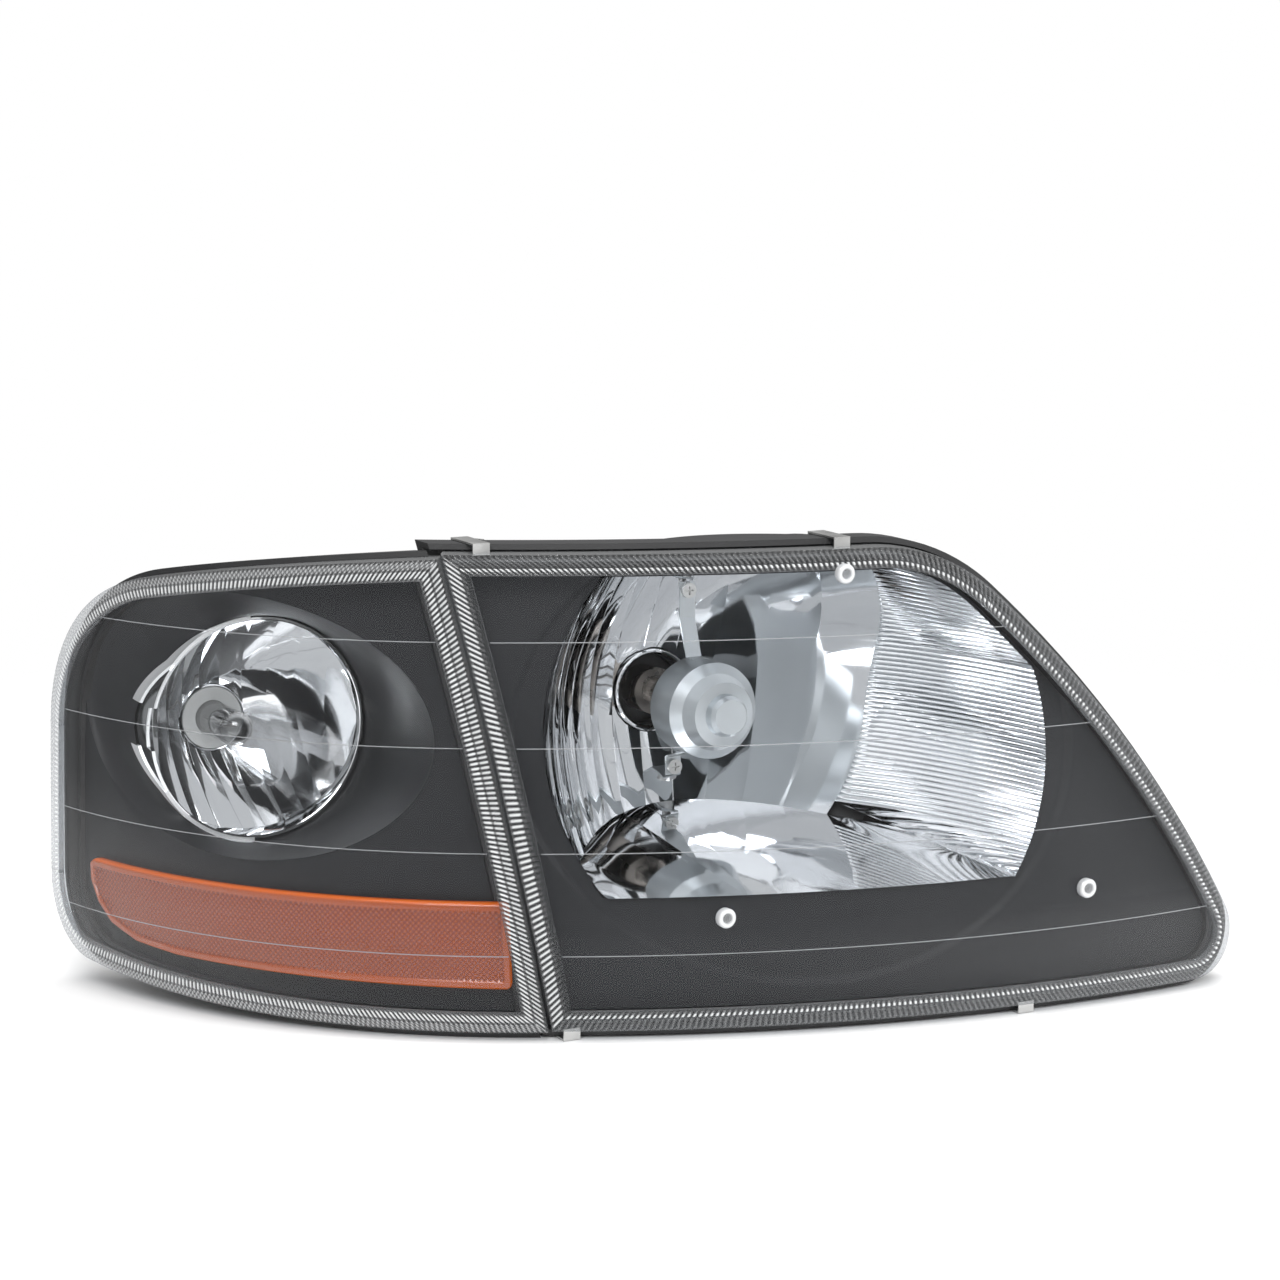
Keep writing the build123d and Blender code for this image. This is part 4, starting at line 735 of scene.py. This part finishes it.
# ---- corner lamp: cup, bezel with its oval recess, amber reflector ----
cupShape = {"x": -62.0, "z": 8.5, "focal": 17.5, "vertex": 174.0, "mouthX": -56.0, "mouthZ": 10.5,
            "mouthY": 126.0, "mouthR": 49.5, "wall": 1.8, "hole": 15.0, "facets": 10, "facetDeep": 0.5,
            "barrelBack": 152.0, "notchZ": 13.5, "notchHigh": 18.0, "notchDeep": 6.0, "lean": 0.16,
            "tilt": 0.006, "quietFacets": 6, "quiet": 0.2, "lipRound": 0.4, "lipEdge": 0.3}


def cupY(x, z):
    c = cupShape
    return c["vertex"] - ((x - c["x"]) ** 2 + (z - c["z"]) ** 2) / (4 * c["focal"])


def cornerReflector():
    # A cup made like the main bowl: a paraboloid in upright facets inside a round barrel. A window in
    # the barrel's outboard side lets the side marker light through.
    c = cupShape
    edges = np.linspace(0, 1, c["facets"] + 1)
    u = np.concatenate([e + (edges[1] - edges[0]) * facetSteps for e in edges[:-1]] + [[1.0]])
    facet = np.minimum((u * c["facets"] + 1e-6).astype(int), c["facets"] - 1)
    within = np.clip(u * c["facets"] - facet, 0, 1)
    reach = c["mouthR"] - 0.02
    tilt = rng.uniform(-1, 1, c["facets"])[facet]
    quiet = np.where(facet > c["facets"] - c["quietFacets"], c["quiet"], 1.0)

    def columnX(z):
        # facets lean outwards as they drop
        return c["mouthX"] + reach * (2 * u - 1) - c["lean"] * (z - c["mouthZ"]) * (1 - (2 * u - 1) ** 2)

    def relief(z):
        return c["facetDeep"] * quiet * 4 * within * (1 - within) + c["tilt"] * quiet * tilt * (z - c["z"])

    grids = []
    for way in (1, -1):
        far = np.full(len(u), c["mouthZ"])
        near = np.full(len(u), c["z"])
        for _ in range(30):
            out = columnX(far) - c["mouthX"]
            far = c["mouthZ"] + way * np.sqrt(np.maximum(c["mouthR"] ** 2 - out ** 2, 0))
            dx = columnX(near) - c["x"]
            near = c["z"] + way * np.sqrt(np.maximum(c["hole"] ** 2 - dx ** 2, 0))
        v = np.linspace(0, 1, 28)[:, None]
        z = near + (far - near) * v
        x = columnX(z)
        grids.append((toFrame(x, cupY(x, z) + relief(z), z), False, False))
    turn = np.linspace(-math.pi, math.pi, 361)
    z = c["mouthZ"] + c["mouthR"] * np.sin(turn)
    inNotch = (np.cos(turn) < 0) & (np.abs(z - c["notchZ"]) < c["notchHigh"] / 2)
    lip = c["mouthY"] + np.where(inNotch, c["notchDeep"], 0.0)
    inner, outer = c["mouthR"] + 0.02, c["mouthR"] + c["wall"]
    whole = np.full(len(turn), c["barrelBack"])
    barrel = []
    for r, y in ((inner, whole), (inner, lip + c["lipEdge"]), (c["mouthR"] + c["lipRound"], lip),
                 (outer - c["lipRound"], lip), (outer, lip + c["lipEdge"]), (outer, whole)):
        barrel.append(toFrame(c["mouthX"] + r * np.cos(turn), y, c["mouthZ"] + r * np.sin(turn)))
    lipRing = []
    ring = np.linspace(0, 2 * math.pi, 72, endpoint=False)
    for r, y in ((c["hole"] + 0.5, -0.6), (c["hole"], -0.9), (c["hole"] - 0.3, 0.3), (c["hole"] - 0.3, 5.0)):
        lipRing.append(toFrame(c["x"] + r * np.cos(ring), cupY(c["x"] + c["hole"], c["z"]) + y,
                               c["z"] + r * np.sin(ring)))
    grids.append((np.array(lipRing), False, True))
    makePiece("corner_reflector_faceted", grids, chrome, replaces=("corner_reflector",),
              facing=toFrame(c["mouthX"], 130.0, c["mouthZ"]), closed=False, sharp=12)
    makePiece("corner_reflector_barrel", [(np.array(barrel), True, False)], chrome,
              sharp=30)


dishShape = {"along": -124.0, "z": 19.0, "wide": 101.0, "high": 58.5, "endR": 52.0, "endY": 126.6,
             "front": 14.0, "wall": 2.0, "grow": 6.6, "sinkPower": 1.8, "clear": 0.5}


def cornerSurfaceY(x, z, depth):
    bend, sweep = glazing["cornerBend"], glazing["sweep"]
    across = bend * math.sin(sweep) - x
    return bend * math.cos(sweep) - np.sqrt(np.maximum((bend - depth) ** 2 - across ** 2, 0)) + setback(z)


flangeShape = {"reach": 0.15, "start": 0.05, "ease": 0.5, "front": 0.9, "back": 0.15, "inner": 0.9}


def cupFlange(angles, dishRow):
    # A thin bright flange on the dish at the cup's outboard side, widest at mid-height, parted by the
    # side marker's window.
    g, c = flangeShape, cupShape
    taper = np.clip((-np.cos(angles) - g["start"]) / g["ease"], 0, 1) ** 0.5
    height = c["mouthR"] * np.sin(angles) + c["mouthZ"] - c["notchZ"]
    grids = []
    for way in (1, -1):
        keep = (taper > 0) & (way * height > c["notchHigh"] / 2)
        reach = [dishRow(1 - g["reach"] * taper * part)[keep] for part in np.linspace(0, 1, 7)]
        middle = np.array([c["mouthX"], 0, c["mouthZ"]])
        lip = reach[0].copy()
        shrink = (c["mouthR"] + g["inner"]) / dishShape["endR"]
        lip[:, [0, 2]] = middle[[0, 2]] + (reach[0] - middle)[:, [0, 2]] * shrink
        reach = [lip] + reach
        sheet = [toFrame(r[:, 0], r[:, 1] - g["front"], r[:, 2]) for r in reach]
        sheet += [toFrame(r[:, 0], r[:, 1] - g["back"], r[:, 2]) for r in reach[::-1]]
        sheet = np.array(sheet)
        ends = [np.repeat(sheet[:, k].mean(0)[None, None], len(sheet), 0) for k in (0, -1)]
        grids.append((np.concatenate([ends[0], sheet, ends[1]], 1), True, False))
    makePiece("corner_reflector_flange", grids, flangeSatin, sharp=40)


def cornerBezel():
    # From the outline in to an oval on the glazing's offset copy, then a soft dish from the oval to the
    # round mouth of the cup: a quarter sine sideways and a power of the same share inwards.
    d, c = dishShape, cupShape
    centre = np.array([d["along"], d["z"]])
    loop = rimLoop("corner", d["grow"], (1200, 300))
    angles = np.sort(np.concatenate([np.linspace(-math.pi, math.pi, 540, endpoint=False),
                                     cornerAngles(loop, centre, 1200)]))
    rOut = polarRadius(loop, centre, angles)
    rOval = 1 / np.hypot(np.cos(angles) / d["wide"], np.sin(angles) / d["high"])
    rOval = np.minimum(rOval, rOut - 1.0)
    rows = []
    for f in np.linspace(1, 0, 12):
        r = rOval + (rOut - rOval) * f
        along, z = centre[0] + r * np.cos(angles), centre[1] + r * np.sin(angles)
        rows.append(np.stack(onGlazing("corner", along, z, d["front"]), -1))
    oval = rows[-1]
    circleX = c["mouthX"] + d["endR"] * np.cos(angles)
    circleZ = c["mouthZ"] + d["endR"] * np.sin(angles)
    circleY = np.maximum(d["endY"], cornerSurfaceY(circleX, circleZ, d["front"] + d["clear"]))
    end = np.stack([circleX, circleY, circleZ], -1)

    def dishRow(f):
        point = oval + (end - oval) * np.sin(f * math.pi / 2)[:, None]
        point[:, 1] = oval[:, 1] + (end[:, 1] - oval[:, 1]) * f ** d["sinkPower"]
        # the dish never stands in front of the surface it is sunk into
        point[:, 1] = np.maximum(point[:, 1], cornerSurfaceY(point[:, 0], point[:, 2], d["front"]))
        return point

    rows += [dishRow(np.full(len(angles), f)) for f in np.linspace(0, 1, 22)[1:]]
    cupFlange(angles, dishRow)
    front = [toFrame(*r.T) for r in rows]
    back = [toFrame(r[:, 0], r[:, 1] + d["wall"], r[:, 2]) for r in rows[::-1]]
    return makePiece("corner_bezel_face", [(np.array(front + back), True, True)], bezelSatin,
                     replaces=("corner_bezel",), sharp=50)


amberShape = {"top": -50.5, "bottom": -88.5, "near": 6.0, "far": -222.0, "front": 7.6, "back": 12.4,
              "border": 3.2, "cell": 2.6, "prism": 0.55, "round": 5.0, "raised": 1.2, "sinkIn": 1.0,
              "lowerEdge": ((0, 9), (6, 20), (16, 28), (34, 33.5), (60, 35.5)), "rows": 76,
              "roundHigh": 0.8, "nearRound": 3.0, "nearDrop": 1.5, "fieldEase": 0.8, "rim": 1.4,
              "cellSteps": 5, "prismToneAndPaintedHighlight": (0.08, 0.34), "rimToneAndPaintedGlow": (0.3, 0.9)}


def amberGlass():
    # Prismatic amber: deep orange with painted highlights on the prism tops and a painted glow at its raised
    # edges, under a clear coat.
    material, tree, shader = newMaterial("amberPrism")
    # tone and painted highlight: the per-point value runs from dark amber to bright orange
    tone_and_painted_highlight = addNode(tree, "ShaderNodeAttribute", attribute_name="tone_and_painted_highlight")
    ramp = addNode(tree, "ShaderNodeMix", data_type="RGBA")
    ramp.inputs["A"].default_value = (0.11, 0.014, 0.003, 1)
    ramp.inputs["B"].default_value = (0.80, 0.15, 0.010, 1)
    tree.links.new(tone_and_painted_highlight.outputs["Fac"], ramp.inputs["Factor"])
    tree.links.new(ramp.outputs["Result"], shader.inputs["Base Color"])
    tree.links.new(remap(tree, objectNoise(tree, 50.0), 0.08, 0.2), shader.inputs["Roughness"])
    shader.inputs["Coat Weight"].default_value = 0.4
    shader.inputs["Specular IOR Level"].default_value = 0.6
    return material


def amberReflector():
    # A curved bar: its face is a field of small domed prisms inside a raised border. The rows run from
    # the lower edge to the upper one and the columns along the glazing, closing round its outboard end.
    a = amberShape
    columns = int((a["near"] - a["far"]) / a["cell"]) * a["cellSteps"]
    along = np.linspace(a["far"], a["near"], columns)
    z0 = np.interp(along, [a["far"] + run for run, drop in a["lowerEdge"]] + [a["near"]],
                   [a["top"] - drop for run, drop in a["lowerEdge"]] + [a["bottom"]])
    z1 = np.full(columns, a["top"])
    corner = np.clip(1 - (along - a["far"]) / a["round"], 0, 1)
    z1 = z1 - a["round"] * (1 - np.sqrt(1 - corner ** 2)) * a["roundHigh"]
    endNear = 1 - np.sqrt(1 - np.clip(1 - (a["near"] - along) / a["nearRound"], 0, 1) ** 2)
    z0, z1 = z0 + a["nearRound"] * endNear, z1 - a["nearDrop"] * endNear
    v = np.linspace(0, 1, a["rows"])[:, None]
    z = z0 + (z1 - z0) * v
    s = along + 0 * v
    edge = np.minimum(np.minimum(z - z0, z1 - z), np.minimum(s - a["far"], a["near"] - s))
    field = np.clip((edge - a["border"]) / a["fieldEase"], 0, 1)
    hexes = np.abs(np.sin(math.pi * (s + z) / a["cell"]) * np.sin(math.pi * (s - z) / a["cell"]))
    bright = np.clip(1 - edge / a["raised"], 0, 1)
    depth = a["front"] + a["sinkIn"] * field - a["prism"] * field * hexes + a["rim"] * bright ** 2
    # painted highlight and glow: prism tops are painted brighter than the field, and the border brighter
    # still towards its raised edge
    (low, high), (flat, paintedEdgeGlow) = a["prismToneAndPaintedHighlight"], a["rimToneAndPaintedGlow"]
    tone_and_painted_highlight = np.clip(np.where(field > 0.5, low + high * hexes ** 2, flat) + paintedEdgeGlow * bright, 0, 1)
    front = toFrame(*onGlazing("corner", s, z, depth))
    coarse = np.stack([toFrame(*onGlazing("corner", along, zz, a["back"])) for zz in (z1, z0)])
    whole = np.concatenate([front, coarse], 0)
    tones_and_painted_highlights = np.concatenate([tone_and_painted_highlight, np.full((2, columns), flat)], 0)
    # both ends pulled to their middles
    first = np.repeat(whole[:, :1].mean(0)[None], len(whole), 0)
    last = np.repeat(whole[:, -1:].mean(0)[None], len(whole), 0)
    whole = np.concatenate([first, whole, last], 1)
    tones_and_painted_highlights = np.concatenate([tones_and_painted_highlights[:, :1], tones_and_painted_highlights, tones_and_painted_highlights[:, -1:]], 1)
    makePiece("amber_reflector_prisms", [(whole, True, False, tones_and_painted_highlights)], amberGlass(),
              replaces=("amber_reflector",), sharp=35)


cornerReflector()
cornerBezel()
amberReflector()
print("corner lamp done")

# ---- stage, light and camera ----
stage = {"aim": (64.4, -18.6, 63.4), "distance": 1.55, "azimuth": -27.0, "elevation": 9.5, "lens": 101.25,
         "floor": 2.0, "fade": (0.35, 0.95), "sensor": 36.0, "clip": (0.05, 60.0), "lit": (0.1, 0.0, 0.0)}
# each light's place, size and energy
lights = {"keyLight": ((-0.9, -1.6, 1.9), (1.6, 1.2), 42), "fillLight": ((1.8, -1.2, 0.9), (0.8, 1.4), 16),
          "topLight": ((0.2, 0.3, 2.0), (1.6, 1.0), 26)}
# the studio's white front, middle and dim back, as place and brightness, and its strength
sky = {"front": (0.26, (1, 1, 1, 1)), "middle": (0.5, (0.7, 0.7, 0.71, 1)), "back": (0.8, (0.5, 0.5, 0.5, 1)),
       "strength": 0.8}


def areaLight(name, place, target, size, energy):
    light = bpy.data.lights.new(name, "AREA")
    light.shape, light.size, light.size_y, light.energy = "RECTANGLE", size[0], size[1], energy
    lamp = bpy.data.objects.new(name, light)
    lamp.location = place
    lamp.rotation_euler = (Vector(target) - Vector(place)).to_track_quat("-Z", "Y").to_euler()
    bpy.context.scene.collection.objects.link(lamp)


def floorPale():
    # a pale matt floor that fades out to the white background with distance from the middle
    material = moulded("floorPale", (0.95, 0.95, 0.95), (0.93, 0.93, 0.93), (0.7, 0.8), grain=200, bump=0.0,
                       cloud=3, specular=0.1)
    tree = material.node_tree
    place = addNode(tree, "ShaderNodeTexCoord")
    far = addNode(tree, "ShaderNodeVectorMath", operation="LENGTH")
    fade = addNode(tree, "ShaderNodeMapRange", interpolation_type="SMOOTHSTEP")
    fade.inputs["From Min"].default_value, fade.inputs["From Max"].default_value = stage["fade"]
    clear = addNode(tree, "ShaderNodeBsdfTransparent")
    mix = addNode(tree, "ShaderNodeMixShader")
    tree.links.new(place.outputs["Object"], far.inputs[0])
    tree.links.new(far.outputs["Value"], fade.inputs["Value"])
    tree.links.new(fade.outputs["Result"], mix.inputs["Fac"])
    tree.links.new(tree.nodes["Principled BSDF"].outputs["BSDF"], mix.inputs[1])
    tree.links.new(clear.outputs["BSDF"], mix.inputs[2])
    tree.links.new(mix.outputs["Shader"], tree.nodes["Material Output"].inputs["Surface"])
    return material


def studio():
    low = min(cadBox[0][2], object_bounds()[0][2])
    mesh = bpy.data.meshes.new("floor")
    half = stage["floor"]
    mesh.from_pydata([(-half, -half, low), (half, -half, low), (half, half, low), (-half, half, low)], [],
                     [(0, 1, 2, 3)])
    floor = bpy.data.objects.new("floor", mesh)
    bpy.context.scene.collection.objects.link(floor)
    mesh.materials.append(floorPale())
    floor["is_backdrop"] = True
    centre = tuple(joint + np.array(stage["lit"]))
    for name, (place, size, energy) in lights.items():
        areaLight(name, place, centre, size, energy)
    world = bpy.data.worlds.new("studio")
    bpy.context.scene.world = world
    bpy.context.scene.view_settings.view_transform = "Standard"
    world.use_nodes = True
    tree = world.node_tree
    out, soft = tree.nodes["World Output"], tree.nodes["Background"]
    # the studio is white in front and falls off to grey behind and overhead, so the mirrors have contrast
    place = addNode(tree, "ShaderNodeTexCoord")
    split = addNode(tree, "ShaderNodeSeparateXYZ")
    ramp = addNode(tree, "ShaderNodeValToRGB")
    stops = ramp.color_ramp.elements
    stops[0].position, stops[0].color = sky["front"]
    stops[1].position, stops[1].color = sky["back"]
    stops.new(sky["middle"][0]).color = sky["middle"][1]
    tree.links.new(place.outputs["Generated"], split.inputs["Vector"])
    half = addNode(tree, "ShaderNodeMath", operation="MULTIPLY_ADD")
    half.inputs[1].default_value, half.inputs[2].default_value = 0.5, 0.5
    tree.links.new(split.outputs["Y"], half.inputs[0])
    tree.links.new(half.outputs["Value"], ramp.inputs["Fac"])
    tree.links.new(ramp.outputs["Color"], soft.inputs["Color"])
    soft.inputs["Strength"].default_value = sky["strength"]
    seen = addNode(tree, "ShaderNodeBackground")
    seen.inputs["Color"].default_value, seen.inputs["Strength"].default_value = (1, 1, 1, 1), 1.0
    path = addNode(tree, "ShaderNodeLightPath")
    mix = addNode(tree, "ShaderNodeMixShader")
    tree.links.new(path.outputs["Is Camera Ray"], mix.inputs["Fac"])
    tree.links.new(soft.outputs["Background"], mix.inputs[1])
    tree.links.new(seen.outputs["Background"], mix.inputs[2])
    tree.links.new(mix.outputs["Shader"], out.inputs["Surface"])


def camera():
    data = bpy.data.cameras.new("camera")
    data.lens, data.sensor_width = stage["lens"], stage["sensor"]
    data.clip_start, data.clip_end = stage["clip"]
    eye = bpy.data.objects.new("camera", data)
    a, e = math.radians(stage["azimuth"]), math.radians(stage["elevation"])
    back = Vector((math.sin(a) * math.cos(e), -math.cos(a) * math.cos(e), math.sin(e)))
    eye.location = Vector(toFrame(*stage["aim"])) + back * stage["distance"]
    eye.rotation_euler = back.to_track_quat("Z", "Y").to_euler()
    bpy.context.scene.collection.objects.link(eye)
    bpy.context.scene.camera = eye


studio()
camera()
print("scene done")
